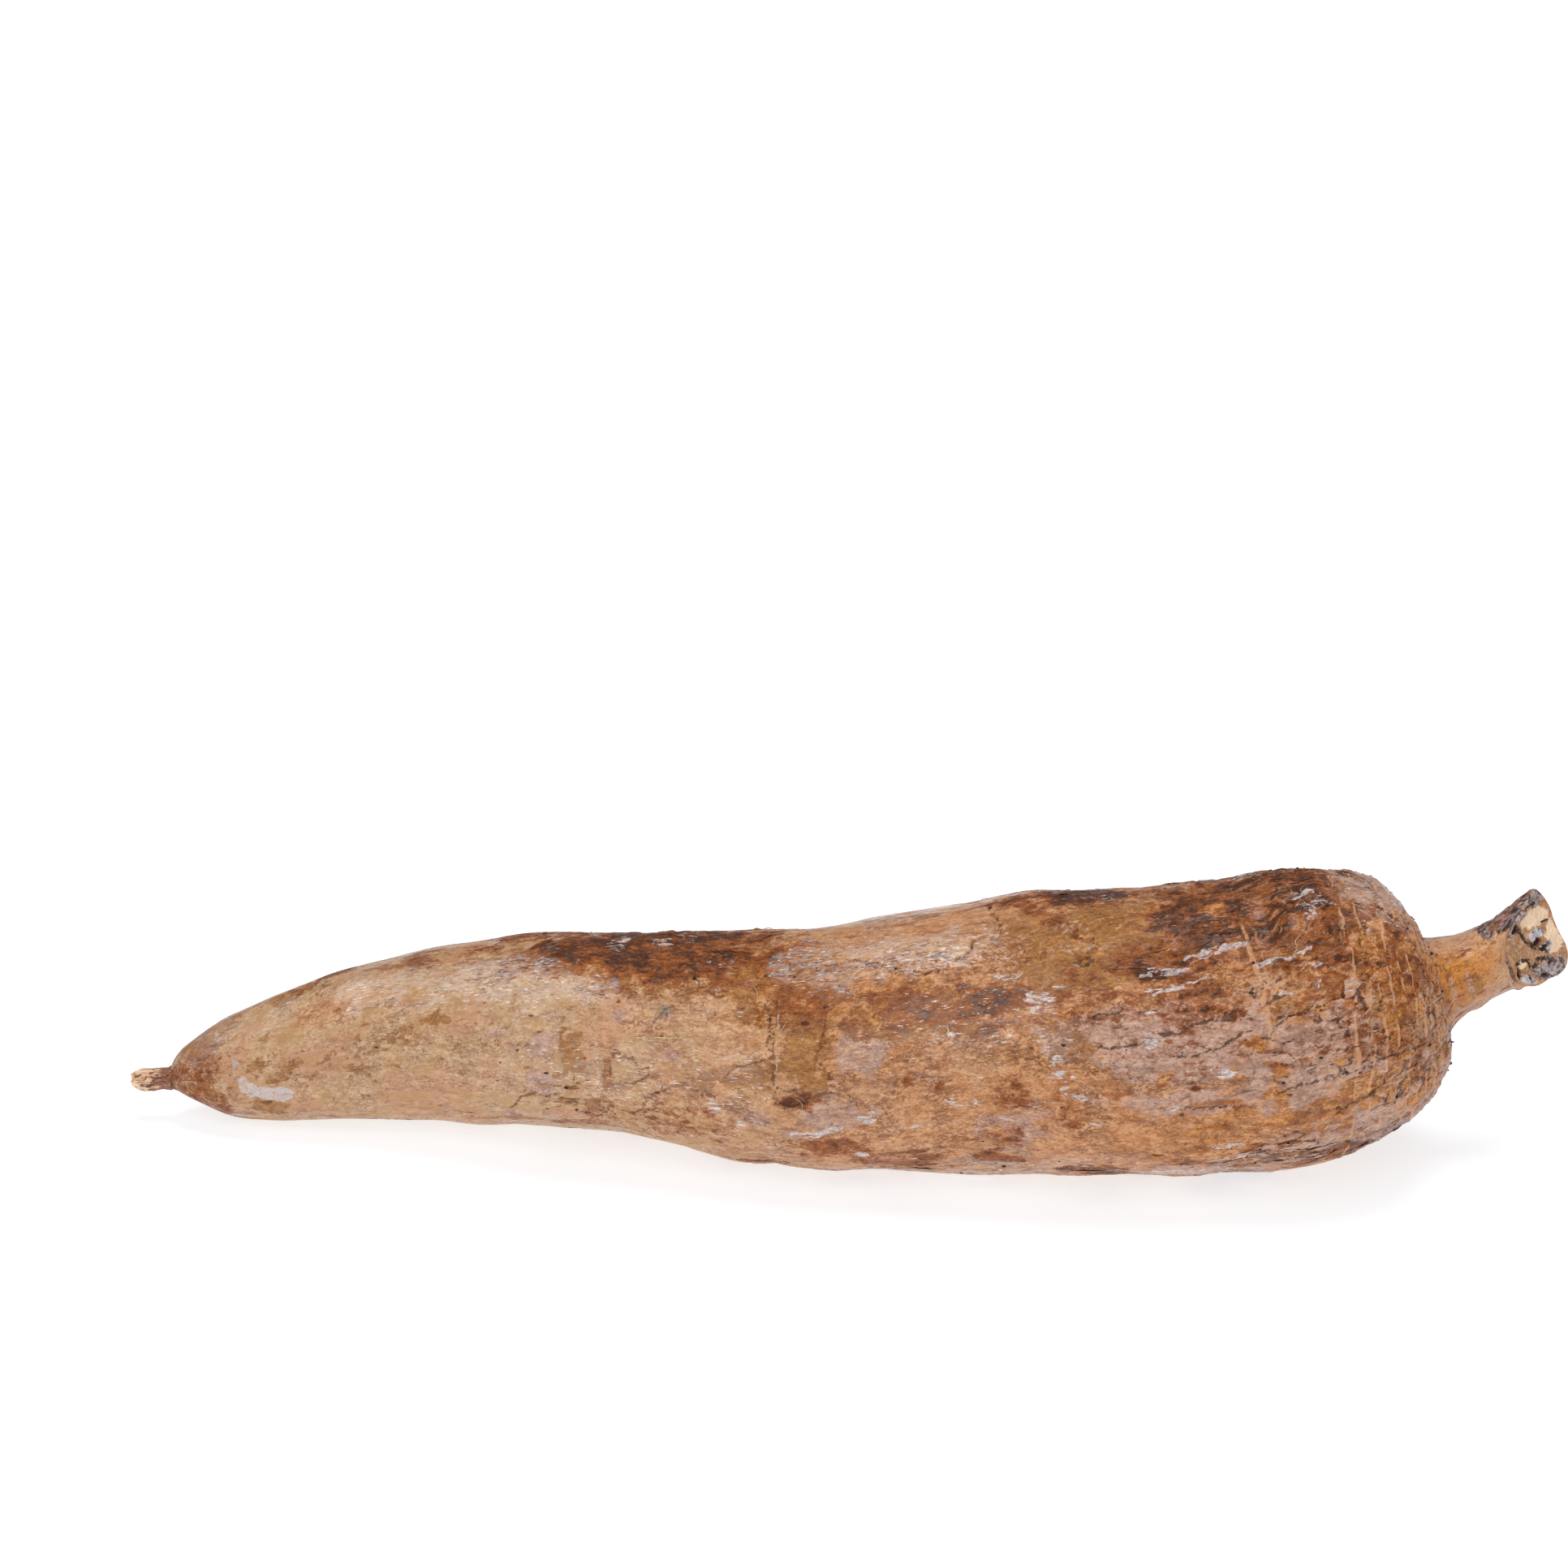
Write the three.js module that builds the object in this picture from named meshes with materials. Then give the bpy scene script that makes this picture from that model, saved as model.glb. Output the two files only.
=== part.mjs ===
// A cassava root lying on its side, as it was lifted from the ground and cut from its plant: one grown
// piece with a swollen body, a thin broken tail at one end and the woody neck of the stem at the other.
//
// Millimetres and degrees, +Z up. +X runs from the tail to the neck, -Y is the front of the root and
// z = 0 is the surface that it lies on. The origin is on that surface, below the middle of the root's
// bounding box. The skin is a stack of rings, each with the same number of points, closed at both ends
// by a broken face. Angles round a ring start at the front and turn upwards: 90 is the top, 180 the back.
import * as THREE from "three";

const SEGMENTS = 60;
const SEED = 20417;

// ---------------------------------------------------------------------------------------------------
// The form: ring centres x, y, z, the ring's radius, and the way it faces, as yaw to the back and pitch
// upwards. x starts 2 mm inside the broken end of the tail.
const STATIONS = [
  // the thin tail
  { x: -2.0, y: 23.9, z: 10.5, radius: 2.0, yaw: 0, pitch: 4 },
  { x: -1.0, y: 23.9, z: 10.5, radius: 2.6, yaw: 0, pitch: 4 },
  { x: 1.4, y: 23.9, z: 10.5, radius: 2.8, yaw: 0, pitch: 4 },
  { x: 4.0, y: 23.9, z: 10.7, radius: 2.4, yaw: 0, pitch: 4 },
  { x: 6.7, y: 23.8, z: 10.9, radius: 2.65, yaw: 0, pitch: 5 },
  { x: 8.2, y: 23.7, z: 11.5, radius: 3.4, yaw: 0, pitch: 5 },
  { x: 9.2, y: 23.6, z: 12.5, radius: 4.6, yaw: 0, pitch: 4 },
  // the tapered end of the body
  { x: 12.0, y: 23.5, z: 13.0, radius: 6.5, yaw: 0, pitch: 3 },
  { x: 17.0, y: 24.0, z: 13.5, radius: 9.5, yaw: 0, pitch: 2 },
  { x: 22.0, y: 24.0, z: 14.0, radius: 12.0, yaw: 2, pitch: 4 },
  { x: 29.0, y: 24.5, z: 15.0, radius: 14.0, yaw: 3, pitch: 5 },
  { x: 35.0, y: 25.0, z: 16.0, radius: 15.5, yaw: 3, pitch: 5 },
  { x: 41.0, y: 25.5, z: 17.0, radius: 16.5, yaw: 2, pitch: 5 },
  { x: 56.0, y: 25.5, z: 20.0, radius: 19.0, yaw: -2, pitch: 6 },
  { x: 72.0, y: 24.0, z: 23.0, radius: 21.0, yaw: -6, pitch: 6 },
  { x: 88.0, y: 21.5, z: 25.0, radius: 23.0, yaw: -9, pitch: 4 },
  { x: 110.0, y: 16.5, z: 27.5, radius: 25.0, yaw: -12, pitch: 2 },
  { x: 128.0, y: 12.0, z: 28.5, radius: 25.5, yaw: -13, pitch: 1 },
  { x: 148.0, y: 7.5, z: 28.5, radius: 27.0, yaw: -11, pitch: 2 },
  // the swollen body
  { x: 168.0, y: 4.5, z: 29.0, radius: 29.0, yaw: -6, pitch: 3 },
  { x: 188.0, y: 3.0, z: 31.0, radius: 31.0, yaw: -3, pitch: 3 },
  { x: 208.0, y: 1.5, z: 33.0, radius: 32.0, yaw: -1, pitch: 2 },
  { x: 228.0, y: 0.5, z: 34.0, radius: 33.5, yaw: 0, pitch: 2 },
  { x: 248.0, y: 0.5, z: 34.5, radius: 34.5, yaw: 1, pitch: 1 },
  { x: 268.0, y: 1.0, z: 35.5, radius: 35.0, yaw: 3, pitch: 1 },
  { x: 280.0, y: 2.0, z: 37.0, radius: 36.0, yaw: 5, pitch: 1 },
  { x: 290.0, y: 3.5, z: 38.5, radius: 35.5, yaw: 6, pitch: 2 },
  // the shoulder
  { x: 300.0, y: 5.5, z: 39.5, radius: 33.5, yaw: 7, pitch: 3 },
  { x: 308.0, y: 7.0, z: 40.5, radius: 30.5, yaw: 6, pitch: 5 },
  { x: 313.6, y: 7.8, z: 40.8, radius: 26.0, yaw: 5, pitch: 8 },
  { x: 317.0, y: 8.5, z: 41.2, radius: 21.2, yaw: 5, pitch: 11 },
  { x: 319.2, y: 9.1, z: 42.0, radius: 16.4, yaw: 4, pitch: 14 },
  // the neck
  { x: 320.4, y: 9.6, z: 43.2, radius: 12.4, yaw: 4, pitch: 16 },
  { x: 324.0, y: 10.2, z: 45.0, radius: 10.4, yaw: 4, pitch: 19 },
  { x: 330.0, y: 11.0, z: 47.2, radius: 9.2, yaw: 5, pitch: 21 },
  { x: 335.0, y: 11.8, z: 49.2, radius: 9.0, yaw: -1, pitch: 22 },
  { x: 338.4, y: 12.5, z: 50.3, radius: 9.3, yaw: -14, pitch: 21 },
  { x: 341.8, y: 13.2, z: 51.1, radius: 9.8, yaw: -30, pitch: 18 },
  { x: 345.4, y: 13.8, z: 51.6, radius: 10.4, yaw: -47, pitch: 16 },
];

// A ring is wider than high by this share on the body, and the slanting cut of the neck lengthens it.
const BODY_WIDENING = 0.02;
const CUT_WIDENING = 0.06;
const CUT_SLANT = { from: 336, to: 345.4 };

// The body sinks this far into the surface and is planed off there, which leaves the flat it lies on.
const FLAT_DEPTH = 0.45;

// How far apart the rings are, by x.
const RING_STEPS = [
  { upTo: 24, step: 2.3 },
  { upTo: 56, step: 4.8 },
  { upTo: 290, step: 6.8 },
  { upTo: 321, step: 2.7 },
  { upTo: 400, step: 2.9 },
];
const SCAR_STEP = 1.9;
const SCAR_REACH = 3.6;

// ---------------------------------------------------------------------------------------------------
// What grew on the form. Heights are outwards, and a depth is inwards.

// Broad lobes and hollows: height on a ring of BODY_RADIUS, less on a thinner one, how long the wave is
// along x, and how many there are round a ring.
const BODY_RADIUS = 36;
const LOBES = [
  { height: 0.75, length: 210, round: 2 },
  { height: 0.5, length: 118, round: 3 },
  { height: 0.4, length: -74, round: 2 },
  { height: 0.34, length: 61, round: 4 },
  { height: 0.28, length: -43, round: 5 },
  { height: 0.2, length: 29, round: 3 },
  { height: 0.16, length: -21, round: 7 },
];

// Ridges and hollows that run along the root, by the angle of their crest at both ends. Each fades in
// and out over a share of its length.
const RIDGE_FADE = 0.35;
const RIDGES = [
  { from: 60, to: 150, startAngle: 44, endAngle: 56, halfWidth: 11, height: 1.0 },
  { from: 66, to: 136, startAngle: 26, endAngle: 34, halfWidth: 10, height: -0.7 },
  { from: 160, to: 250, startAngle: 66, endAngle: 58, halfWidth: 10, height: 0.8 },
  { from: 176, to: 262, startAngle: 46, endAngle: 38, halfWidth: 8, height: -0.5 },
  { from: 30, to: 96, startAngle: 128, endAngle: 140, halfWidth: 14, height: 0.8 },
  { from: 120, to: 236, startAngle: 158, endAngle: 146, halfWidth: 12, height: -0.9 },
  { from: 190, to: 296, startAngle: 186, endAngle: 200, halfWidth: 13, height: 0.9 },
  { from: 216, to: 300, startAngle: -22, endAngle: -14, halfWidth: 9, height: 0.5 },
];

// Rings left where a side root or a pressed stone held the root in: a groove with a lip on its tail side.
// The groove is deepest at an angle, keeps a share of that depth all round, and leans by so many mm a
// quarter turn. The lip's height and place are shares of the groove's depth and half width.
const SCAR_LIP = { height: 0.45, away: 1.7, halfWidth: 1.6 };
const SCARS = [
  { x: 63.6, angle: -4, spread: 26, depth: 0.7, halfWidth: 1.6, allRound: 0.12, lean: 0 },
  { x: 112.0, angle: 13, spread: 29, depth: 0.8, halfWidth: 2.0, allRound: 0.1, lean: 0 },
  { x: 157.6, angle: 27, spread: 61, depth: 1.3, halfWidth: 1.9, allRound: 0.3, lean: 2 },
  { x: 204.0, angle: 190, spread: 70, depth: 0.9, halfWidth: 2.4, allRound: 0.08, lean: 3 },
  { x: 278.0, angle: 48, spread: 74, depth: 1.1, halfWidth: 1.8, allRound: 0.3, lean: 7 },
  { x: 92.0, angle: 205, spread: 48, depth: 0.8, halfWidth: 2.0, allRound: 0.05, lean: -2 },
];

// The fine rings that crowd round the shoulder.
const SHOULDER_RINGS = { from: 292, to: 321, fade: 6, pitch: 3.6, depth: 0.34, waver: 0.9 };

// Single swellings and pits, by x and angle, with their half size along and round the root.
const SPOTS = [
  { x: 94, angle: 10, along: 9, round: 7, height: 0.5 },
  { x: 152, angle: -58, along: 15, round: 13, height: 0.9 },
  { x: 168, angle: 86, along: 13, round: 11, height: 0.6 },
  { x: 187, angle: 24, along: 12, round: 12, height: -0.5 },
  { x: 236, angle: 12, along: 8, round: 9, height: 0.6 },
  { x: 258, angle: 112, along: 14, round: 12, height: 0.8 },
  { x: 262, angle: -30, along: 9, round: 8, height: 0.5 },
  { x: 296, angle: 78, along: 8, round: 9, height: 0.8 },
  { x: 132, angle: 118, along: 12, round: 9, height: -0.9 },
  { x: 226, angle: 176, along: 4, round: 4, height: 1.3 },
  { x: 56, angle: 190, along: 4, round: 4, height: 0.9 },
  { x: 11.5, angle: -20, along: 2.6, round: 3.2, height: 0.7 },
  { x: 327.5, angle: -74, along: 1.8, round: 2.6, height: 0.9 },
  { x: 329, angle: -2, along: 1.2, round: 3.2, height: 0.5 },
  { x: 333, angle: 84, along: 3.5, round: 2.4, height: 0.5 },
  { x: 340, angle: -58, along: 2.4, round: 3.4, height: 0.6 },
  { x: 345, angle: 107, along: 9, round: 8, height: 2.0 },
  { x: 345, angle: 219, along: 5, round: 7, height: 2.2 },
  { x: 345, angle: 164, along: 7, round: 11, height: -1.7 },
  { x: 345, angle: 256, along: 6, round: 6, height: -1.2 },
];

// Furrows in the bark that run with the root and deepen towards the neck.
const FURROWS = {
  from: 205,
  to: 318,
  fade: 40,
  round: 19,
  depth: 0.42,
  drift: { angle: 26, length: 46 },
  patches: { least: 0.2, length: 38 },
};

// Fluting: flat sides on the thin tail and faint ribs on the neck.
const TAIL_FLUTES = { from: 5.5, to: 8.5, round: 5, height: 0.2 };
const NECK_FLUTES = { from: 323, to: 328, round: 6, height: 0.25 };

// The two broken faces, as rings of a share of the end ring, each stepped in or out along its facing.
const TAIL_FACE = [
  { share: 0.8, out: 0.5, rough: 0.2 },
  { share: 0.42, out: 0.55, rough: 0.35 },
];
const TAIL_FACE_CENTRE = 0.3;
const NECK_FACE = [
  { share: 0.93, out: 0.5, rough: 0.25 },
  { share: 0.84, out: -0.1, rough: 0.3 },
  { share: 0.6, out: -0.5, rough: 0.5 },
  { share: 0.32, out: -0.2, rough: 0.4 },
];
const NECK_FACE_CENTRE = -0.7;

// ---------------------------------------------------------------------------------------------------
const radians = THREE.MathUtils.degToRad;

/** A seeded source of numbers from 0 to 1. */
function randomSource(seed) {
  let state = seed;
  return () => {
    state = (state + 0x6d2b79f5) | 0;
    let t = Math.imul(state ^ (state >>> 15), 1 | state);
    t = (t + Math.imul(t ^ (t >>> 7), 61 | t)) ^ t;
    return ((t ^ (t >>> 14)) >>> 0) / 4294967296;
  };
}

/** 1 at 0, falling smoothly to 0 at 1 and beyond. */
function bell(distance) {
  return THREE.MathUtils.smoothstep(1 - Math.abs(distance), 0, 1);
}

/** 0 outside from..to and 1 inside, with an even slope of length soften at both ends. */
function window(value, from, to, soften) {
  const { smoothstep } = THREE.MathUtils;
  return smoothstep(value, from, from + soften) * (1 - smoothstep(value, to - soften, to));
}

/** A wave of height 1 that repeats every whole turn. */
function wave(turns) {
  return Math.cos(2 * Math.PI * turns);
}

/** The smaller way round from one angle to another, in degrees. */
function turn(a, b) {
  return THREE.MathUtils.euclideanModulo(a - b + 180, 360) - 180;
}

/** A smooth curve through the points (at[i], value[i]) that never swings past them. */
function smoothThrough(at, value) {
  const slopes = at.slice(1).map((a, i) => (value[i + 1] - value[i]) / (a - at[i]));
  const tangents = at.map((_, i) => {
    const before = slopes[Math.max(i - 1, 0)];
    const after = slopes[Math.min(i, slopes.length - 1)];
    return before * after <= 0 ? 0 : (2 * before * after) / (before + after);
  });
  return (s) => {
    let i = 0;
    while (i < at.length - 2 && s > at[i + 1]) i++;
    const span = at[i + 1] - at[i];
    const t = (s - at[i]) / span;
    const rise = value[i + 1] - value[i];
    const a = tangents[i] * span - rise;
    const b = rise - tangents[i + 1] * span;
    return value[i] + t * rise + t * (1 - t) * ((1 - t) * a + t * b);
  };
}

/** The form as functions of s, the length along the skin's outline from the tail's end. */
function formOf(stations) {
  const lengths = [0];
  for (let i = 1; i < stations.length; i++) {
    const a = stations[i - 1];
    const b = stations[i];
    lengths.push(lengths[i - 1] + Math.hypot(b.x - a.x, b.radius - a.radius));
  }
  const curves = {};
  for (const key of ["x", "y", "z", "radius", "yaw", "pitch"]) {
    curves[key] = smoothThrough(lengths, stations.map((station) => station[key]));
  }
  return { curves, length: lengths.at(-1) };
}

const random = randomSource(SEED);
const form = formOf(STATIONS);
const lobes = LOBES.map((lobe) => ({ ...lobe, phase: random() + 0.75 }));
const furrowPhases = [random() + 0.75, random() + 0.75, random()];

// ---------------------------------------------------------------------------------------------------
// Relief: how far the skin stands out of the form at x and an angle, where a ring has this radius.

function lobeHeight(x, angle, radius) {
  const size = radius / BODY_RADIUS;
  return lobes.reduce(
    (sum, { height, length, round, phase }) =>
      sum + height * size * wave(x / length + (round * angle) / 360 + phase),
    0,
  );
}

function ridgeHeight(x, angle, radius) {
  let sum = 0;
  for (const { from, to, startAngle, endAngle, halfWidth, height } of RIDGES) {
    const share = THREE.MathUtils.clamp((x - from) / (to - from), 0, 1);
    const crest = THREE.MathUtils.lerp(startAngle, endAngle, share);
    const away = radians(turn(angle, crest)) * radius;
    sum += height * window(x, from, to, (to - from) * RIDGE_FADE) * bell(away / halfWidth);
  }
  return sum;
}

function scarHeight(x, angle) {
  let sum = 0;
  for (const { x: at, angle: deepest, spread, depth, halfWidth, allRound, lean } of SCARS) {
    const off = turn(angle, deepest);
    const away = (x - at + (lean * off) / 90) / halfWidth;
    const strength = allRound + (1 - allRound) * bell(off / spread);
    const lip = SCAR_LIP.height * bell((away + SCAR_LIP.away) / SCAR_LIP.halfWidth);
    sum += depth * strength * (lip - bell(away));
  }
  return sum;
}

function shoulderRingHeight(x, angle) {
  const { from, to, fade, pitch, depth, waver } = SHOULDER_RINGS;
  const place = x + waver * Math.sin(radians(3 * angle));
  return (-depth / 2) * window(x, from, to, fade) * (1 + wave(place / pitch));
}

function spotHeight(x, angle, radius) {
  return SPOTS.reduce((sum, spot) => {
    const along = (x - spot.x) / spot.along;
    const round = (radians(turn(angle, spot.angle)) * radius) / spot.round;
    return sum + spot.height * bell(Math.hypot(along, round));
  }, 0);
}

function furrowHeight(x, angle) {
  const { from, to, fade, round, depth, drift, patches } = FURROWS;
  const [first, second, third] = furrowPhases;
  const drifted = drift.angle * wave(x / drift.length + angle / 180 + first);
  const fromFurrow = Math.abs(wave((round * angle + drifted) / 720 + second));
  const share = (1 + patches.least + (1 - patches.least) * wave(x / patches.length + angle / 120 + third)) / 2;
  return -depth * share * window(x, from, to, fade) * (1 - fromFurrow) ** 2;
}

function fluteHeight(x, angle) {
  const { smoothstep } = THREE.MathUtils;
  const tail = (1 - smoothstep(x, TAIL_FLUTES.from, TAIL_FLUTES.to)) * TAIL_FLUTES.height;
  const neck = smoothstep(x, NECK_FLUTES.from, NECK_FLUTES.to) * NECK_FLUTES.height;
  const fluteTurn = (x + angle) / 360;
  return tail * wave(TAIL_FLUTES.round * fluteTurn) + neck * wave(NECK_FLUTES.round * fluteTurn);
}

function relief(x, angle, radius) {
  return (
    lobeHeight(x, angle, radius) +
    ridgeHeight(x, angle, radius) +
    scarHeight(x, angle) +
    shoulderRingHeight(x, angle) +
    spotHeight(x, angle, radius) +
    furrowHeight(x, angle) +
    fluteHeight(x, angle)
  );
}

// ---------------------------------------------------------------------------------------------------
/** The ring's centre and its three directions: facing, front and up. */
function ringFrame(s) {
  const { x, y, z, yaw, pitch } = form.curves;
  const w = radians(yaw(s));
  const p = radians(pitch(s));
  return {
    centre: new THREE.Vector3(x(s), y(s), z(s)),
    facing: new THREE.Vector3(Math.cos(p) * Math.cos(w), Math.cos(p) * Math.sin(w), Math.sin(p)),
    front: new THREE.Vector3(Math.sin(w), -Math.cos(w), 0),
    up: new THREE.Vector3(-Math.sin(p) * Math.cos(w), -Math.sin(p) * Math.sin(w), Math.cos(p)),
  };
}

/** The points of the ring at s, drawn in to a share of its size and moved out along its facing. */
function ringPoints(s, share = 1, out = () => 0) {
  const { centre, facing, front, up } = ringFrame(s);
  const radius = form.curves.radius(s);
  const slant = THREE.MathUtils.smoothstep(centre.x, CUT_SLANT.from, CUT_SLANT.to);
  const widening = 1 + BODY_WIDENING + CUT_WIDENING * slant;
  const points = [];
  for (let i = 0; i < SEGMENTS; i++) {
    const angle = (360 * i) / SEGMENTS;
    const reach = (radius + relief(centre.x, angle, radius)) * share;
    points.push(
      centre
        .clone()
        .addScaledVector(front, reach * widening * Math.cos(radians(angle)))
        .addScaledVector(up, reach * Math.sin(radians(angle)))
        .addScaledVector(facing, out(angle)),
    );
  }
  return points;
}

/** How far apart the rings are at x, closer over a scar. */
function ringStep(x) {
  const step = RING_STEPS.find(({ upTo }) => x < upTo).step;
  const overScar = SCARS.some((scar) => Math.abs(x - scar.x) < SCAR_REACH);
  return overScar ? Math.min(step, SCAR_STEP) : step;
}

/** A broken face: rings drawn in from the end ring, then the point in its middle. */
function facePoints(s, rings, middle, sign) {
  const drawnIn = rings.map(({ share, out, rough }) => {
    const phase = random();
    const height = (angle) => sign * (out + rough * wave(angle / 120 + phase) * wave(angle / 180));
    return ringPoints(s, share, height);
  });
  const { centre, facing } = ringFrame(s);
  return { rings: drawnIn, centre: centre.addScaledVector(facing, sign * middle) };
}

/** The whole skin: a point at each end and all the rings between them, from the tail to the neck. */
function skinRings() {
  const places = [0];
  while (places.at(-1) < form.length) {
    places.push(places.at(-1) + ringStep(form.curves.x(places.at(-1))));
  }
  places.pop();
  const stretch = form.length / places.at(-1);
  const body = places.map((s) => ringPoints(s * stretch));
  const tail = facePoints(0, TAIL_FACE, TAIL_FACE_CENTRE, -1);
  const neck = facePoints(form.length, NECK_FACE, NECK_FACE_CENTRE, 1);
  return {
    start: tail.centre,
    rings: [...tail.rings.reverse(), ...body, ...neck.rings],
    end: neck.centre,
  };
}

/** Sets the points down: planes the underside off on the surface, and moves the origin to its place. */
function setDown(points) {
  for (const point of points) point.z = Math.max(point.z - FLAT_DEPTH, 0);
  const middle = new THREE.Box3().setFromPoints(points).getCenter(new THREE.Vector3());
  for (const point of points) point.sub(new THREE.Vector3(middle.x, middle.y, 0));
}

/** One closed surface from the rings, with its faces pointing out. */
function skinGeometry() {
  const { start, rings, end } = skinRings();
  const points = [start, ...rings.flat(), end];
  setDown(points);
  const last = points.length - 1;
  const at = (ring, i) => 1 + ring * SEGMENTS + (i % SEGMENTS);
  const faces = [];
  for (let i = 0; i < SEGMENTS; i++) {
    faces.push(0, at(0, i), at(0, i + 1));
    faces.push(last, at(rings.length - 1, i + 1), at(rings.length - 1, i));
  }
  for (let ring = 0; ring + 1 < rings.length; ring++) {
    for (let i = 0; i < SEGMENTS; i++) {
      faces.push(at(ring, i), at(ring + 1, i), at(ring + 1, i + 1));
      faces.push(at(ring, i), at(ring + 1, i + 1), at(ring, i + 1));
    }
  }
  const geometry = new THREE.BufferGeometry().setFromPoints(points);
  geometry.setIndex(faces);
  geometry.computeVertexNormals();
  return geometry;
}

const bark = new THREE.MeshStandardMaterial({
  name: "bark",
  color: new THREE.Color(0.45, 0.27, 0.14),
  roughness: 0.55,
  metalness: 0,
});

const cassava = new THREE.Group();
cassava.name = "cassava";
const root = new THREE.Mesh(skinGeometry(), bark);
root.name = "cassava_root";
cassava.add(root);

export default cassava;
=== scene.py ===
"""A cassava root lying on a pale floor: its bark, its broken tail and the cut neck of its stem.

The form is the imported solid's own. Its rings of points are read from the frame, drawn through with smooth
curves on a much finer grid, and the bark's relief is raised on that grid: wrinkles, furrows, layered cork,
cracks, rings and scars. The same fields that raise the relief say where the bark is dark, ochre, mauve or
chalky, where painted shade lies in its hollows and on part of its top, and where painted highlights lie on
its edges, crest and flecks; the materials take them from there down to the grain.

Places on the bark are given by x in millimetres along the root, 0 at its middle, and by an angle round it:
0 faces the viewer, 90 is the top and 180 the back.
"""
import enum
import logging
import math
from dataclasses import dataclass, field

import bpy
import numpy as np
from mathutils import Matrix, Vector


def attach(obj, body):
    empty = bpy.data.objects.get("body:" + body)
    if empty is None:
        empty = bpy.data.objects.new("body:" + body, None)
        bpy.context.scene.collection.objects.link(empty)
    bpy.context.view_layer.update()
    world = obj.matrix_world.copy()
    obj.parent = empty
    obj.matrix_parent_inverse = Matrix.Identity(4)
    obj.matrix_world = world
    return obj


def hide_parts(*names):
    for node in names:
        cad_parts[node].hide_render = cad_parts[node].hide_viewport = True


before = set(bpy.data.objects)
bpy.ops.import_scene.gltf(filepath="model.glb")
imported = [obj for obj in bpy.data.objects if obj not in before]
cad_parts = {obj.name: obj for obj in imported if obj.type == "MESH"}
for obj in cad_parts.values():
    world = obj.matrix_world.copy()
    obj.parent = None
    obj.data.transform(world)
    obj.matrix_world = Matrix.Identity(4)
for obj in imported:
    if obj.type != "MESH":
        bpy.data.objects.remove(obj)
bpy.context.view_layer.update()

log = logging.getLogger("cassava")
MM = 0.001
Array = np.ndarray
Piece = bpy.types.Object
Line = tuple[tuple[float, float], ...]
Table = tuple[tuple[float, ...], tuple[float, ...]]


# ----------------------------------------
# Numbers on the skin


def smooth(values: Array, low: float, high: float) -> Array:
    """Rise from 0 at low to 1 at high, level outside.

    Args:
        values: The numbers to grade.
        low: Where the rise starts.
        high: Where it ends; below low turns the slope round.

    Returns:
        Numbers from 0 to 1.
    """
    share = np.clip((values - low) / (high - low), 0.0, 1.0)
    return share * share * (3.0 - 2.0 * share)


def at_least(least: float, share: Array) -> Array:
    """Give a share that starts from a least one instead of 0."""
    return least + (1 - least) * share


def window(values: Array, low: float, high: float, soft: float) -> Array:
    """Give 1 between low and high and 0 outside, with slopes of length soft inside both ends."""
    return smooth(values, low, low + soft) * smooth(values, high, high - soft)


def turn(a: Array, b: float) -> Array:
    """Give the shorter way round from angle b to angle a, in degrees."""
    return (a - b + 180.0) % 360.0 - 180.0


def facing(angle: Array, middle: float, edge: float, core: float) -> Array:
    """Give 1 within core degrees of a middle angle, falling to 0 at edge degrees from it."""
    return smooth(np.abs(turn(angle, middle)), edge, core)


def unit(vectors: Array) -> Array:
    """Scale vectors to length 1."""
    return vectors / np.maximum(np.linalg.norm(vectors, axis=-1, keepdims=True), 1e-12)


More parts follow.
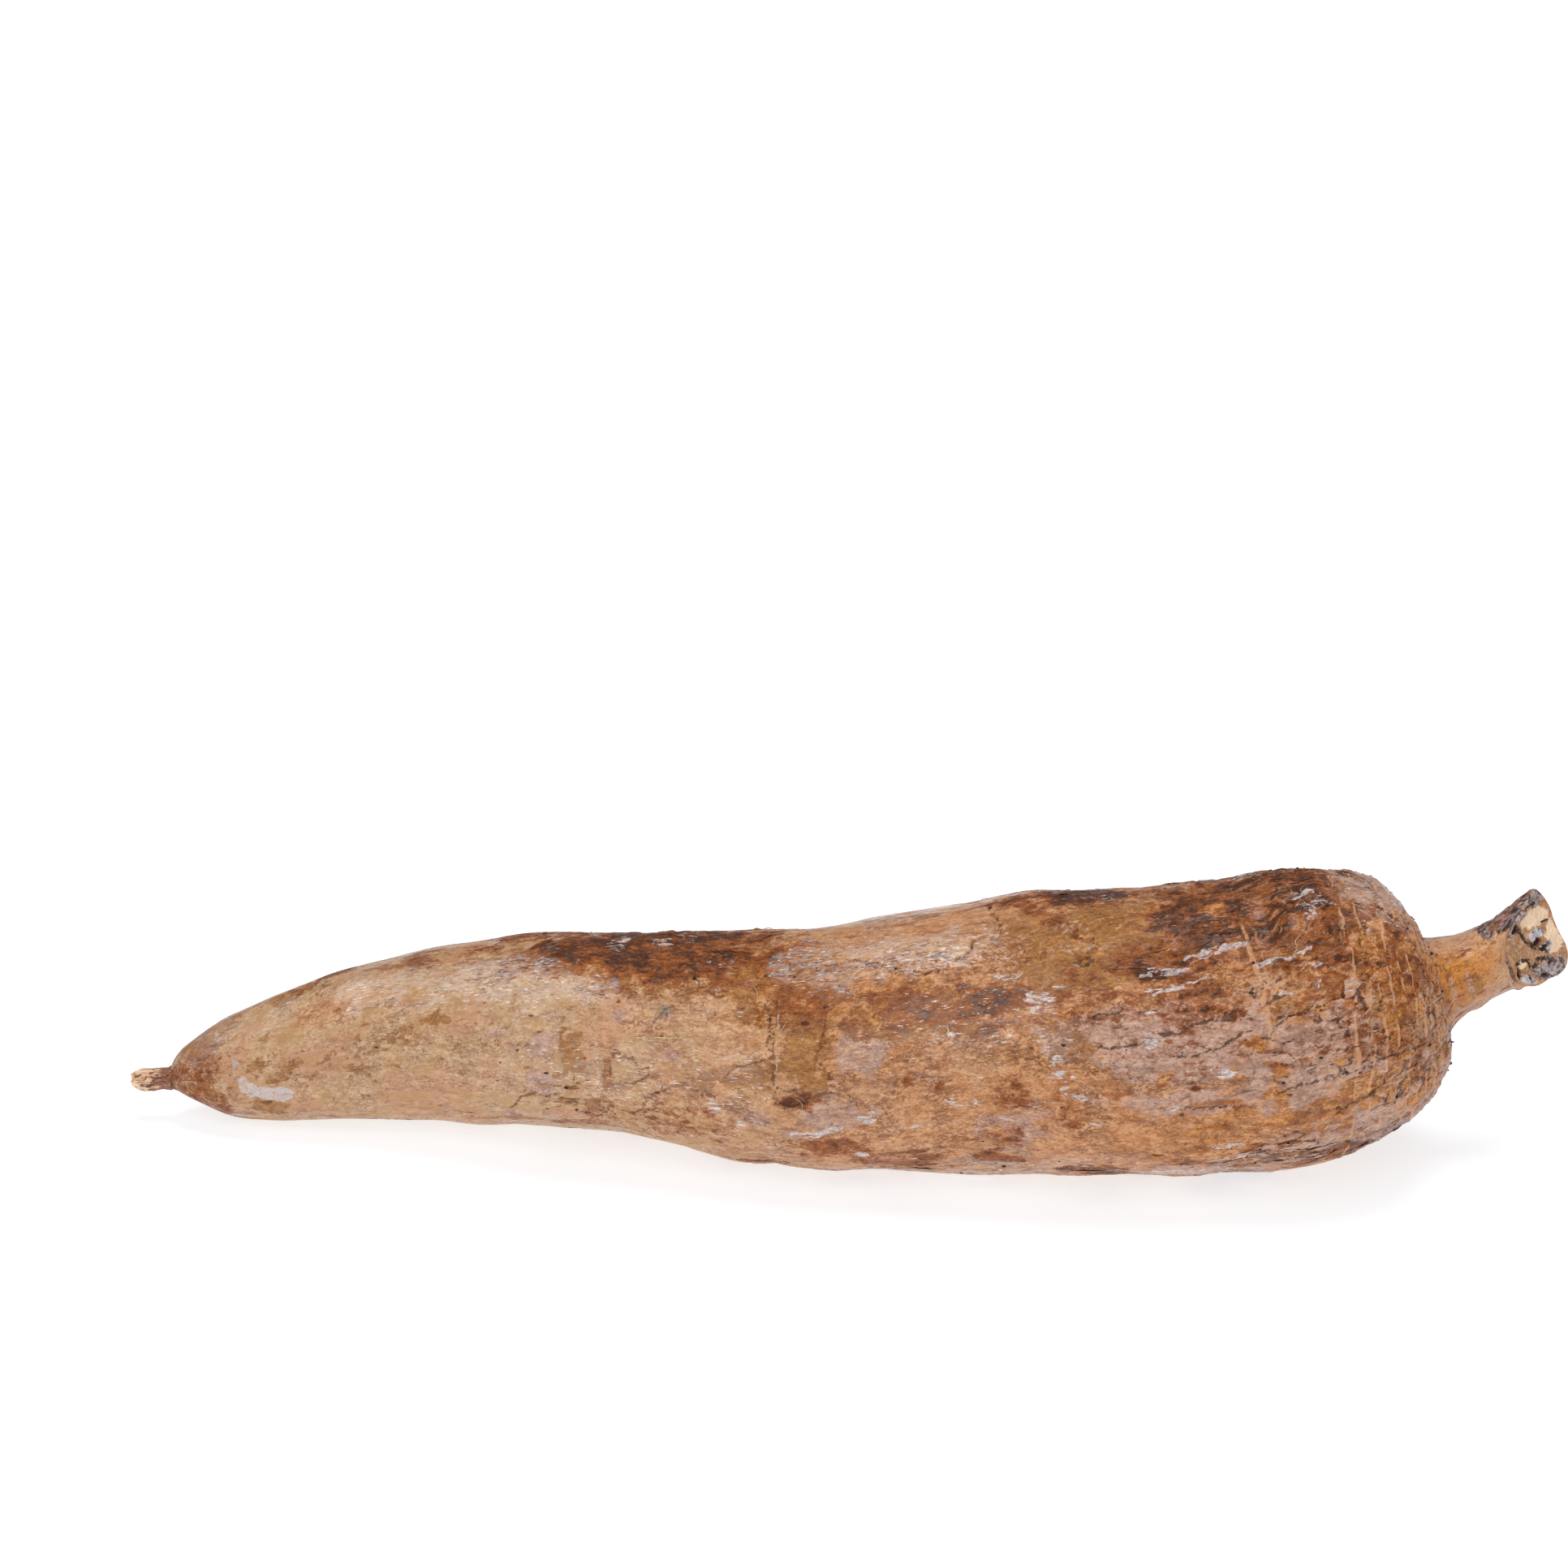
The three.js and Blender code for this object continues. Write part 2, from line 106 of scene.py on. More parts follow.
@dataclass(frozen=True)
class Grain:
    """Seeded gradient noise, worked out for many points at once."""

    seed: int

    PRIMES = np.array([0x9E3779B1, 0x85EBCA77, 0xC2B2AE3D], np.uint32)
    EDGES = np.array(
        [[x, y, 0] for x in (1, -1) for y in (1, -1)]
        + [[x, 0, z] for x in (1, -1) for z in (1, -1)]
        + [[0, y, z] for y in (1, -1) for z in (1, -1)]
        + [[1, 1, 0], [-1, 1, 0], [0, -1, 1], [0, -1, -1]],
        np.float32,
    )

    def _mixed(self, keys: Array) -> Array:
        """Scramble whole numbers into evenly spread ones.

        Args:
            keys: The numbers.

        Returns:
            As many scrambled numbers.
        """
        keys = (keys ^ (keys >> np.uint32(15))) * np.uint32(0x2C1B3C6D)
        keys = (keys ^ (keys >> np.uint32(12))) * np.uint32(0x297A2D39)
        return keys ^ (keys >> np.uint32(15))

    def _keys(self, cell: Array) -> tuple[Array, Array, Array]:
        """Give each axis its scrambled key in a whole-numbered cell.

        Args:
            cell: The cells, as rows of three.

        Returns:
            The keys of the three axes.
        """
        start = np.uint32((self.seed * 0x9E3779B1 + 0x7F4A7C15) & 0xFFFFFFFF)
        whole = cell.astype(np.int64).astype(np.uint32)
        a, b, c = (whole[:, axis] * self.PRIMES[axis] for axis in range(3))
        return a ^ start, b, c

    def plain(self, points: Array) -> Array:
        """Give one layer of noise.

        Args:
            points: Where to look, in units of the noise's own size, as rows of three.

        Returns:
            A number from about -1 to 1 for each row.
        """
        base = np.floor(points)
        part = (points - base).astype(np.float32)
        fade = part * part * part * (part * (part * 6 - 15) + 10)
        near = self._keys(base)
        far = self._keys(base + 1)
        total = np.zeros(len(points), np.float32)
        for corner in range(8):
            i, j, k = corner & 1, corner >> 1 & 1, corner >> 2
            keys = (far if i else near)[0] ^ (far if j else near)[1] ^ (far if k else near)[2]
            slope = self.EDGES[self._mixed(keys) & np.uint32(15)]
            reach = part - np.array([i, j, k], np.float32)
            weight = np.where(np.array([i, j, k]), fade, 1 - fade).prod(axis=1)
            total += weight * (slope * reach).sum(axis=1)
        return total

    def layered(self, points: Array, layers: int = 4, gain: float = 0.5) -> Array:
        """Add layers of noise, each half the size of the one before.

        Args:
            points: Where to look, in units of the first layer's size.
            layers: How many layers.
            gain: How strong each layer is, next to the one before.

        Returns:
            A number from about -1 to 1 for each row.
        """
        total = np.zeros(len(points), np.float32)
        strength, whole = 1.0, 0.0
        for layer in range(layers):
            total += strength * Grain(self.seed + 101 * layer).plain(points * (2.03**layer) + 7.3 * layer)
            whole += strength
            strength *= gain
        return total / whole * 1.5

    def crease(self, points: Array, width: float, layers: int = 2) -> Array:
        """Give thin winding lines, where the noise passes through nothing.

        Args:
            points: Where to look, in units of the noise's own size.
            width: How far from nothing a line reaches.
            layers: How many layers the noise has.

        Returns:
            1 on a line, falling to 0 at its side.
        """
        return smooth(np.abs(self.layered(points, layers)), width, 0.0)

    def tent(self, points: Array, width: float, layers: int = 3) -> Array:
        """Give how near the noise is to nothing: 1 there, falling evenly to 0 at width."""
        return np.clip(1 - np.abs(self.layered(points, layers)) / width, 0, 1)

    def cells(self, points: Array) -> tuple[Array, Array, Array]:
        """Measure a scatter of seeds, one in each whole-numbered cell.

        Args:
            points: Where to look, in units of a cell's size.

        Returns:
            How far the nearest seed is, how far the second nearest, and the nearest one's own number, 0 to 1.
        """
        base = np.floor(points)
        first = np.full(len(points), 9.0, np.float32)
        second, number = first.copy(), first.copy()
        for step in np.ndindex(3, 3, 3):
            cell = base + np.array(step) - 1
            keys = np.bitwise_xor.reduce(self._keys(cell))
            away = np.zeros(len(points), np.float32)
            for axis in range(3):
                keys = self._mixed(keys + np.uint32(axis + 1))
                seed_at = cell[:, axis] + keys.astype(np.float64) / 2**32
                away += ((points[:, axis] - seed_at) ** 2).astype(np.float32)
            away = np.sqrt(away)
            number = np.where(away < first, keys.astype(np.float32) / np.float32(2**32), number)
            second = np.minimum(second, np.maximum(first, away))
            first = np.minimum(first, away)
        return first, second, number


# ----------------------------------------
# The solid's rings and the fine grid over them


@dataclass
class SkinGrid:
    """A fine grid of points over a stretch of the skin, row by row from the tail to the neck."""

    points: Array
    normals: Array
    station: Array
    run: Array
    ring_radius: Array

    @property
    def rows(self) -> int:
        """Count the rows."""
        return self.points.shape[0]

    @property
    def around(self) -> int:
        """Count the points in a row."""
        return self.points.shape[1]

    @property
    def x(self) -> Array:
        """Give each point the x of its row's middle, in millimetres."""
        return np.repeat(self.station, self.around)

    @property
    def angle(self) -> Array:
        """Give each point its angle round the root, in degrees."""
        return np.tile(np.arange(self.around) * 360.0 / self.around, self.rows)

    @property
    def radius(self) -> Array:
        """Give each point its row's mean radius, in millimetres."""
        return np.repeat(self.ring_radius, self.around)

    def straightened(self, radius: Array | float) -> Array:
        """Lay the skin out as if on a straight cylinder, so that noise on it follows the root.

        Args:
            radius: The cylinder's radius, for all points or for each.

        Returns:
            Rows of three, in millimetres: along the skin, and two across.
        """
        turned = np.radians(self.angle)
        along = np.repeat(self.run, self.around)
        return np.stack([along, -radius * np.cos(turned), radius * np.sin(turned)], axis=1)

    def part(self, start: int, end: int, every: int = 1) -> "SkinGrid":
        """Cut out the rows from start to end, both kept, with one point in so many.

        Args:
            start: The first row.
            end: The last row.
            every: How many points along a row give one.

        Returns:
            The smaller grid.
        """
        rows = slice(start, end + 1)
        return SkinGrid(
            self.points[rows, ::every],
            self.normals[rows, ::every],
            self.station[rows],
            self.run[rows],
            self.ring_radius[rows],
        )


@dataclass
class RingStack:
    """The solid's skin as it was drawn: rings of points between a pole at each end."""

    node: str = "cassava_root"
    around: int = 60
    tail_face_rings: int = 2
    neck_face_rings: int = 4
    rings: Array = field(init=False)
    tail_pole: Array = field(init=False)
    neck_pole: Array = field(init=False)

    def __post_init__(self) -> None:
        """Read the node's mesh, merge its shared points and follow its edges from ring to ring."""
        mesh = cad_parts[self.node].data
        corners = np.array([v.co for v in mesh.vertices], float)
        _, first, same = np.unique(np.round(corners, 6), axis=0, return_index=True, return_inverse=True)
        places = corners[first] / MM
        same = same.ravel()
        beside: list[set[int]] = [set() for _ in first]
        for face in mesh.polygons:
            loop = [int(same[v]) for v in face.vertices]
            for a, b in zip(loop, loop[1:] + loop[:1]):
                beside[a].add(b)
                beside[b].add(a)
        poles = [i for i, near in enumerate(beside) if len(near) == self.around]
        poles.sort(key=lambda i: places[i][0])
        start, end = poles[0], poles[-1]
        rings = [self._first_ring(places, beside, start)]
        seen = {start, *rings[0]}
        while end not in beside[rings[-1][0]]:
            last = rings[-1]
            fresh = [beside[v] - seen for v in last]
            rings.append([next(iter(fresh[i - 1] & fresh[i])) for i in range(self.around)])
            seen.update(rings[-1])
        self.rings = places[np.array(rings)]
        self.tail_pole, self.neck_pole = places[start], places[end]
        log.info("%s: %d rings of %d read", self.node, len(rings), self.around)

    def _first_ring(self, places: Array, beside: list[set[int]], pole: int) -> list[int]:
        """Order the points round the tail's pole, from the front upwards.

        Args:
            places: Every point.
            beside: Which points each one has an edge to.
            pole: The point in the ring's middle.

        Returns:
            The ring's points in order.
        """
        off = {v: places[v] - places[pole] for v in beside[pole]}
        lifted = {v: math.degrees(math.atan2(d[2], -d[1])) % 360.0 for v, d in off.items()}
        front = min(off, key=lambda v: abs(turn(lifted[v], 0.0)))
        return sorted(off, key=lambda v: (lifted[v] - lifted[front] + 0.5) % 360.0)

    def skin(self) -> Array:
        """Give the rings of the skin, without those of the broken faces."""
        return self.rings[self.tail_face_rings : len(self.rings) - self.neck_face_rings]

    def tail_face(self) -> Array:
        """Give the tail's broken face, from its pole out to the first ring of the skin."""
        pole = np.repeat(self.tail_pole[None, None], self.around, axis=1)
        return np.concatenate([pole, self.rings[: self.tail_face_rings + 1]])

    def neck_face(self) -> Array:
        """Give the neck's cut face, from the last ring of the skin in to its pole."""
        pole = np.repeat(self.neck_pole[None, None], self.around, axis=1)
        return np.concatenate([self.rings[len(self.rings) - self.neck_face_rings - 1 :], pole])

    @staticmethod
    def lengths(rings: Array) -> Array:
        """Measure how far along the skin's outline each ring is, in millimetres.

        Args:
            rings: The rings, in millimetres.

        Returns:
            One length for each ring, starting at 0.
        """
        middle = rings.mean(axis=1)
        reach = np.linalg.norm(rings - middle[:, None], axis=2).mean(axis=1)
        steps = np.hypot(np.linalg.norm(np.diff(middle, axis=0), axis=1), np.diff(reach))
        return np.concatenate([[0.0], np.cumsum(steps)])

    @classmethod
    def fine(cls, rings: Array, places: Array, around: int, start: float = 0.0) -> SkinGrid:
        """Draw a fine grid through rings with smooth curves.

        Args:
            rings: The rings to draw through.
            places: Where the rows are, in millimetres along the rings' outline.
            around: How many points a row has.
            start: The length along the whole skin where these rings start.

        Returns:
            The grid.
        """
        length = cls.lengths(rings)
        slopes = np.gradient(rings, length, axis=0)
        at = np.clip(np.searchsorted(length, places, side="right") - 1, 0, len(length) - 2)
        span = (length[at + 1] - length[at])[:, None, None]
        t = (places - length[at])[:, None, None] / span
        rows = (
            rings[at] * (1 + 2 * t) * (1 - t) ** 2
            + slopes[at] * span * t * (1 - t) ** 2
            + rings[at + 1] * t * t * (3 - 2 * t)
            + slopes[at + 1] * span * t * t * (t - 1)
        )
        place = np.arange(around) * rings.shape[1] / around
        k = np.floor(place).astype(int)
        t = (place - k)[None, :, None]
        before, here, after, beyond = (rows[:, (k + step) % rings.shape[1]] for step in (-1, 0, 1, 2))
        cubic = 2 * before - 5 * here + 4 * after - beyond + t * (3 * (here - after) + beyond - before)
        points = here + 0.5 * t * (after - before + t * cubic)
        middle = points.mean(axis=1)
        reach = np.linalg.norm(points - middle[:, None], axis=2).mean(axis=1)
        return SkinGrid(points, surface_normals(points), middle[:, 0], places + start, reach)


def surface_normals(points: Array) -> Array:
    """Work out which way a grid of rows faces at each point.

    Args:
        points: The grid, closed round each row.

    Returns:
        Unit vectors, outwards.
    """
    along = np.gradient(points, axis=0)
    around = np.roll(points, -1, axis=1) - np.roll(points, 1, axis=1)
    return unit(np.cross(along, around))


# ----------------------------------------
# Marks on the bark


def rows_of(kind: type, *rows: tuple) -> tuple:
    """Make one thing of a kind from each row of its values."""
    return tuple(kind(*row) for row in rows)


class Mark(enum.Enum):
    """What a patch of bark is covered with; the chalk and glint patches also paint highlights and sheen, and
    some umber patches a shadow.
    """

    UMBER = "umber"
    OCHRE = "ochre"
    MAUVE = "mauve"
    WARM = "warm"
    CHALK_AND_GLINT = "chalk_and_glint"
    WAX = "wax"
    ROUGH = "rough"
    SLEEK = "sleek"
    GOLD = "gold"
    CRUST = "crust"
    GLINT = "glint"


@dataclass(frozen=True)
class Patch:
    """A patch of bark: its middle, half its length along the root and half its width round it, in mm."""

    x: float
    angle: float
    along: float
    round: float
    amount: float = 1.0
    tilt: float = 0.0

    def distance(self, x: Array, angle: Array, radius: Array) -> Array:
        """Measure how far each point is from the middle, where 1 is the patch's edge.

        Args:
            x: Each point's place along the root, in millimetres.
            angle: Its angle round the root, in degrees.
            radius: The root's radius there, in millimetres.

        Returns:
            The distances, 0 in the middle.
        """
        across = np.radians(turn(angle, self.angle)) * radius
        lean = math.radians(self.tilt)
        dx = x - self.x
        u = dx * math.cos(lean) + across * math.sin(lean)
        v = across * math.cos(lean) - dx * math.sin(lean)
        return np.hypot(u / self.along, v / self.round)


def away_from_line(x: Array, y: Array, line: Array) -> Array:
    """Measure how far points are from a line of (x, y) points.

    Args:
        x: The points' first coordinates.
        y: Their second ones.
        line: The line, as rows of two.

    Returns:
        Each point's distance from the nearest place on the line.
    """
    found = np.full(len(x), 99.0)
    for start, end in zip(line, line[1:]):
        reach = end - start
        dx, dy = x - start[0], y - start[1]
        share = np.clip((dx * reach[0] + dy * reach[1]) / (reach @ reach + 1e-9), 0.0, 1.0)
        found = np.minimum(found, np.hypot(dx - share * reach[0], dy - share * reach[1]))
    return found


@dataclass(frozen=True)
class Crack:
    """A crack or a raised edge along a line of (x, angle) points."""

    line: Line
    strength: float = 1.0

    def nearness(self, x: Array, angle: Array, radius: Array, reach: float) -> Array:
        """Give 1 on the line, falling evenly to 0 at reach from it, in mm.

        Args:
            x: Each point's place along the root, in millimetres.
            angle: Its angle round the root, in degrees.
            radius: The root's radius there, in millimetres.
            reach: How far from the line it fades out, in millimetres.

        Returns:
            The nearness, 0 to 1.
        """
        if not len(x):
            return np.zeros(0)
        middle = self.line[len(self.line) // 2][1]
        scale = float(np.median(radius))
        line = np.array([(at, math.radians(to - middle) * scale) for at, to in self.line])
        for _ in range(2):
            cut = np.stack([0.75 * line[:-1] + 0.25 * line[1:], 0.25 * line[:-1] + 0.75 * line[1:]], axis=1)
            line = np.concatenate([line[:1], cut.reshape(-1, 2), line[-1:]])
        return np.clip(1 - away_from_line(x, np.radians(turn(angle, middle)) * radius, line) / reach, 0, 1)


def drawn(strength: float, *lines: Line) -> tuple[Crack, ...]:
    """Make cracks of one strength along these lines."""
    return tuple(Crack(line, strength) for line in lines)


# How far broad and fine noise bend a patch's edge, and how soft it is.
PLAIN_EDGE = (0.75, 0.35, 1.0)
PATCH_EDGES = {Mark.WAX: (0.40, 0.36, 0.24), Mark.ROUGH: (0.5, 0.1, 1.2), Mark.SLEEK: (0.4, 0.1, 0.7)}

PATCHES: dict[Mark, tuple[Patch, ...]] = {
    # Dark cork; along the top, from about x -80 to -15, these patches are partly a painted shadow.
    Mark.UMBER: rows_of(
        Patch,
        (-16, 71, 11, 6, 0.6), (103, 71, 15, 9, 0.75), (-34, 74, 24, 10, 0.74), (-60, 76, 22, 10, 0.85),
        (-96, 84, 18, 7, 0.5), (-44, 54, 28, 6, 0.42), (-10, 58, 12, 9, 0.46), (-45, -22, 13, 8, 0.36),
        (-33, -17, 12, 8, 0.44), (58, 38, 17, 6, 0.42), (82, 38, 14, 7, 0.5), (104, 60, 18, 12, 0.62),
        (122, 26, 14, 14, 0.42), (24, 40, 22, 7, 0.56), (-10, 40, 10, 5, 0.4), (-45, 94, 31, 10, 0.85),
        (-64, 105, 24, 8, 0.65), (-48, 76, 22, 6, 0.55), (-124, 103, 6, 4, 0.8), (-136, 87, 8, 3.2, 0.35),
        (55, 99, 14, 9, 0.9), (98, 88, 22, 14, 0.9), (92, 68, 26, 9, 0.8), (84, 54, 24, 5.5, 0.62),
        (104, 45, 14, 5, 0.45), (128, 42, 12, 11, 0.5), (132, 8, 10, 16, 0.36), (35, 40, 9, 4.6, 0.78),
        (41, 44, 4, 2.6, 0.7), (12, 46, 26, 4, 0.3), (-7, 46, 5.5, 3.8, 0.5), (-9, -1.5, 5, 2, 0.8),
        (-2, -28, 9, 5, 0.6), (14, -37, 16, 3.4, 0.5), (-75, -43, 10, 2.6, 0.55), (-58, -38, 8, 3.2, 0.55),
        (37, -23, 6, 5.5, 0.55), (-160, 4, 6, 20, 0.5), (-150, 22, 6, 12, 0.2), (-51.5, 4, 1.6, 3.4, 0.6),
        (39, -1, 4.6, 5.5, 0.55), (52.5, -11, 4.4, 4, 0.5), (38.5, -25, 3, 2, 0.85),
        (17, -32, 4, 1.3, 0.7), (36, -39, 8, 1.8, 0.6), (16, 7, 1.6, 2.2, 0.6), (23, 4, 1.2, 1.6, 0.6),
        (34, 28, 3, 1, 0.7), (92.4, 67, 2.2, 3.6, 0.8), (55.5, 68, 1.6, 2, 0.8), (51, 78, 4, 1.6, 0.7),
        (80.5, 2, 1, 0.7, 0.8), (-74.2, 14, 0.35, 0.35), (-78.5, 7, 0.35, 0.3), (-68.5, 24, 0.4, 0.3),
        (-52.5, 27, 0.4, 0.3), (-49.8, 42, 0.5, 0.4), (-57, 11, 0.35, 0.5), (-15.8, 62, 1.2, 0.6),
        (-1.8, 43, 0.7, 0.35), (-21, 44, 0.5, 0.3), (-6.5, 36, 0.8, 0.5), (104, -38, 18, 5, 0.35),
    ),
    Mark.OCHRE: rows_of(
        Patch,
        (-22, 68, 13, 8, 0.75), (-56, 68, 12, 5, 0.5), (104, 54, 15, 8, 0.6), (82, 50, 12, 7, 0.45),
        (32, 38, 12, 7, 0.5), (152.6, 9, 1.3, 3.4, 0.8), (149, 40, 4, 2.2, 0.5), (-158, 93, 8, 7, 0.9),
        (-138, 91, 9, 3.5, 0.8), (-158, -12, 5, 3, 0.6), (-145, -27, 6.5, 2.6, 0.75),
        (-113, 20, 15, 7, 0.26), (-96, 33, 5.5, 1.6, 0.8), (-60, 14, 3.2, 6.5, 0.75),
        (-60, -14, 9, 6, 0.4), (-20, 64, 6.5, 9, 0.95), (-8, 60, 10, 10, 0.6), (-142, 22, 8, 6, 0.4),
        (-44, 54, 22, 5, 0.5), (54, 52, 16, 7, 0.8), (46, 22, 13, 8, 0.5), (20, 38, 13, 8, 0.75),
        (-46, 70, 26, 9, 0.5), (-20, 42, 5, 4.5, 0.45), (-7, 22, 5.6, 10.5, 0.8), (-26, 5, 13, 4.5, 0.5),
        (51, 74, 13, 9, 0.75), (68, 67, 15, 8, 0.85), (62, 49, 12, 4, 0.6), (128, 18, 11, 9, 0.5),
        (105, 46, 8, 4, 0.5), (62, 84, 14, 5, 0.7),
    ),
    Mark.MAUVE: rows_of(
        Patch,
        (152, 94, 9, 7, 0.6), (155, -46, 12, 6, 0.6), (150.8, 9, 0.8, 3.4), (146.8, 15, 0.8, 3.2, 0.8),
        (157, 46, 2.4, 4, 0.4), (161, 30, 4, 10, 0.35), (-160, 46, 5, 6, 0.6), (-167, -18, 3, 6),
        (-62, 52, 20, 9, 0.25), (-153, -38, 5, 4, 0.85), (-104, 55, 6, 3, 0.35), (-69, 15, 3.2, 3.6, 0.75),
        (-69, -3, 3.4, 4.2, 0.85), (-80, 24, 4, 2, 0.5), (-77.5, -34, 3, 2, 0.95),
        (-49, 34, 2.5, 1.5, 0.8), (-36, 16, 3, 3, 0.55), (-38, 38, 3, 3, 0.45), (-1, -8, 8, 4.6, 0.75),
        (-10, -15, 15, 4, 0.5), (5, 22, 6.5, 5, 0.6), (12, 8, 9, 6, 0.35), (40, -18, 10, 9, 0.65),
        (32, -39, 16, 3, 0.5), (74, 22, 25, 9), (106, 12, 16, 11), (108, -40, 18, 6, 0.6),
        (124, -34, 16, 9, 0.75), (80, -4, 20, 3.5, 0.7), (126, 84, 15, 12, 0.95), (43, 39, 7, 2.4, 0.5),
    ),
    Mark.WARM: rows_of(
        Patch,
        (-123, 57, 14, 5, 0.6), (24, 50, 26, 5, 0.9), (76, -18, 30, 12), (28, 14, 18, 12, 0.75),
        (104, -14, 10, 4), (-20, 0, 16, 8, 0.6), (18, -12, 22, 8, 0.6),
    ),
    Mark.WAX: rows_of(
        Patch,
        (-143, -9.5, 4.6, 2, 1, -16), (-147.5, -3, 2.4, 1.8, 0.9, -40), (-150, 12, 1.6, 5.5, 0.42, 10),
        (-149, 3, 1.6, 2.4, 0.6), (-139.5, -11, 2.6, 2.6),
    ),
    # Chalky wax flecks; those on the crest, the dark top and the thick end's top are painted glints.
    Mark.CHALK_AND_GLINT: rows_of(
        Patch,
        (46, 41, 4, 1.8), (46.5, 36, 4.5, 1.5), (39.5, 51, 4, 1.3, 0.95), (50.5, 8.5, 3.4, 1.6),
        (51.2, 2, 1.8, 2.6), (49, 14, 2, 2, 0.8), (29, -5, 3.5, 1.4, 0.9), (25, -4, 2, 1.4, 0.8),
        (37, -13, 2, 2, 0.8), (16, -14, 3.4, 2, 0.75), (21, -14, 3.4, 1.6, 0.6), (58, -12, 3.4, 0.9, 0.9),
        (51.5, 45, 3, 0.9, 0.9), (25.8, 27, 0.9, 0.9), (54, -1, 2.4, 1.2, 0.8), (6, -10, 2.6, 2.2),
        (4, -32, 1.8, 1.4), (-21, -18, 1.6, 1.4, 0.9), (-27, -8, 2.2, 1.8), (-24, -12, 8, 1.2, 0.7, -8),
        (-5, -18, 8, 1.3, 1, 6), (-91, 60, 28, 6, 0.5), (-88, 64, 20, 7, 0.42), (10, -23, 3, 2, 0.6),
        (70.5, 41, 1.7, 1.7), (70.8, 33, 1.2, 1.2), (70.8, 23, 1.6, 2.2), (87, 8, 2.6, 1.4),
        (76, -6, 2.4, 1.1, 0.9), (90.8, 44, 1.9, 1.2, 0.9), (76, 50, 5, 1.2, 0.9), (75, 42, 5, 1, 0.9),
        (89, 57, 5, 1, 0.8), (98.5, 49, 4.5, 1, 0.9), (109, 75, 4, 1.2, 0.9), (110, 69, 5, 1.2, 0.9),
        (109, 65, 2.4, 2, 0.8), (104.5, -33, 3, 1.8, 0.9), (88, -27, 5, 0.9, 0.9), (92, -35, 6, 1, 0.9),
        (118, 36, 5, 2, 0.4), (136, -6, 3, 3, 0.6), (-54, 84, 3, 5, 0.9), (-44, 87, 4, 3, 0.9),
        (-38, 97, 3, 4, 0.7), (-62, 100, 2, 5, 0.9), (-71, 99, 2, 4, 0.8), (-86, 98, 2, 4, 0.8),
        (-38.5, 40, 1.6, 2.4, 0.8), (20, 61, 16, 3.4, 0.6), (132, 66, 8, 12, 0.25), (126, -42, 8, 6, 0.5),
        (-21, 42, 1.6, 1.2, 0.7), (-31, 72, 2.4, 1.6, 0.7),
    ),
    Mark.ROUGH: rows_of(
        Patch,
        (-46, 90, 36, 14, 0.9), (-84, 66, 26, 9, 0.35), (22, 60, 28, 5, 0.8), (98, 58, 46, 32, 0.9),
        (96, -2, 44, 14, 0.75), (30, 40, 22, 8, 0.5), (42, -26, 30, 14, 0.45), (-158, 20, 9, 26, 0.35),
        (-5, -20, 22, 12, 0.4),
    ),
    Mark.GOLD: rows_of(
        Patch,
        (78, -22, 22, 7, 0.6), (110, -16, 16, 4, 0.8), (149, 26, 5, 9), (66, 66, 20, 12, 0.9),
        (-14, 64, 20, 10), (-50, 70, 26, 9, 0.9), (54, 24, 12, 9, 0.85), (10, 22, 14, 8, 0.5),
        (8, 42, 34, 9, 0.65), (-5, 28, 8, 12, 0.6), (-40, 6, 18, 7, 0.35), (40, -2, 20, 9, 0.4),
        (126, 22, 14, 16, 0.8),
    ),
    Mark.CRUST: rows_of(
        Patch,
        (160, 104, 3.2, 7), (163.5, 84, 3.4, 4), (167.5, 92, 3, 6), (169.5, 76, 1.6, 3, 0.9),
        (166.5, 66, 2.6, 3, 0.9), (168, 50, 1.2, 3, 0.7), (167, -12, 2.6, 4, 0.9),
    ),
    # Painted glints and painted sheen: where short bright dashes and a streaky pale sheen are painted on the
    # bark.
    Mark.GLINT: rows_of(
        Patch,
        (-119, 66, 9, 4), (-157, 70, 9, 5, 0.7), (-142, 68, 12, 5, 0.55), (-84, 60, 22, 8),
        (-64, 49, 14, 4.5, 0.9), (-104, 62, 20, 5, 0.8), (10, 68, 26, 8, 0.9), (126, 76, 12, 12, 0.4),
        (30, 30, 22, 12, 0.45), (-45, 4, 30, 9, 0.5), (130, 0, 12, 16, 0.25),
    ),
    Mark.SLEEK: rows_of(
        Patch,
        (22, 92, 27, 13), (-106, 92, 20, 9, 0.8), (-24, 26, 11, 10, 0.6), (80, -16, 18, 9, 0.9),
        (-147, 60, 7, 16, 0.5),
    ),
}

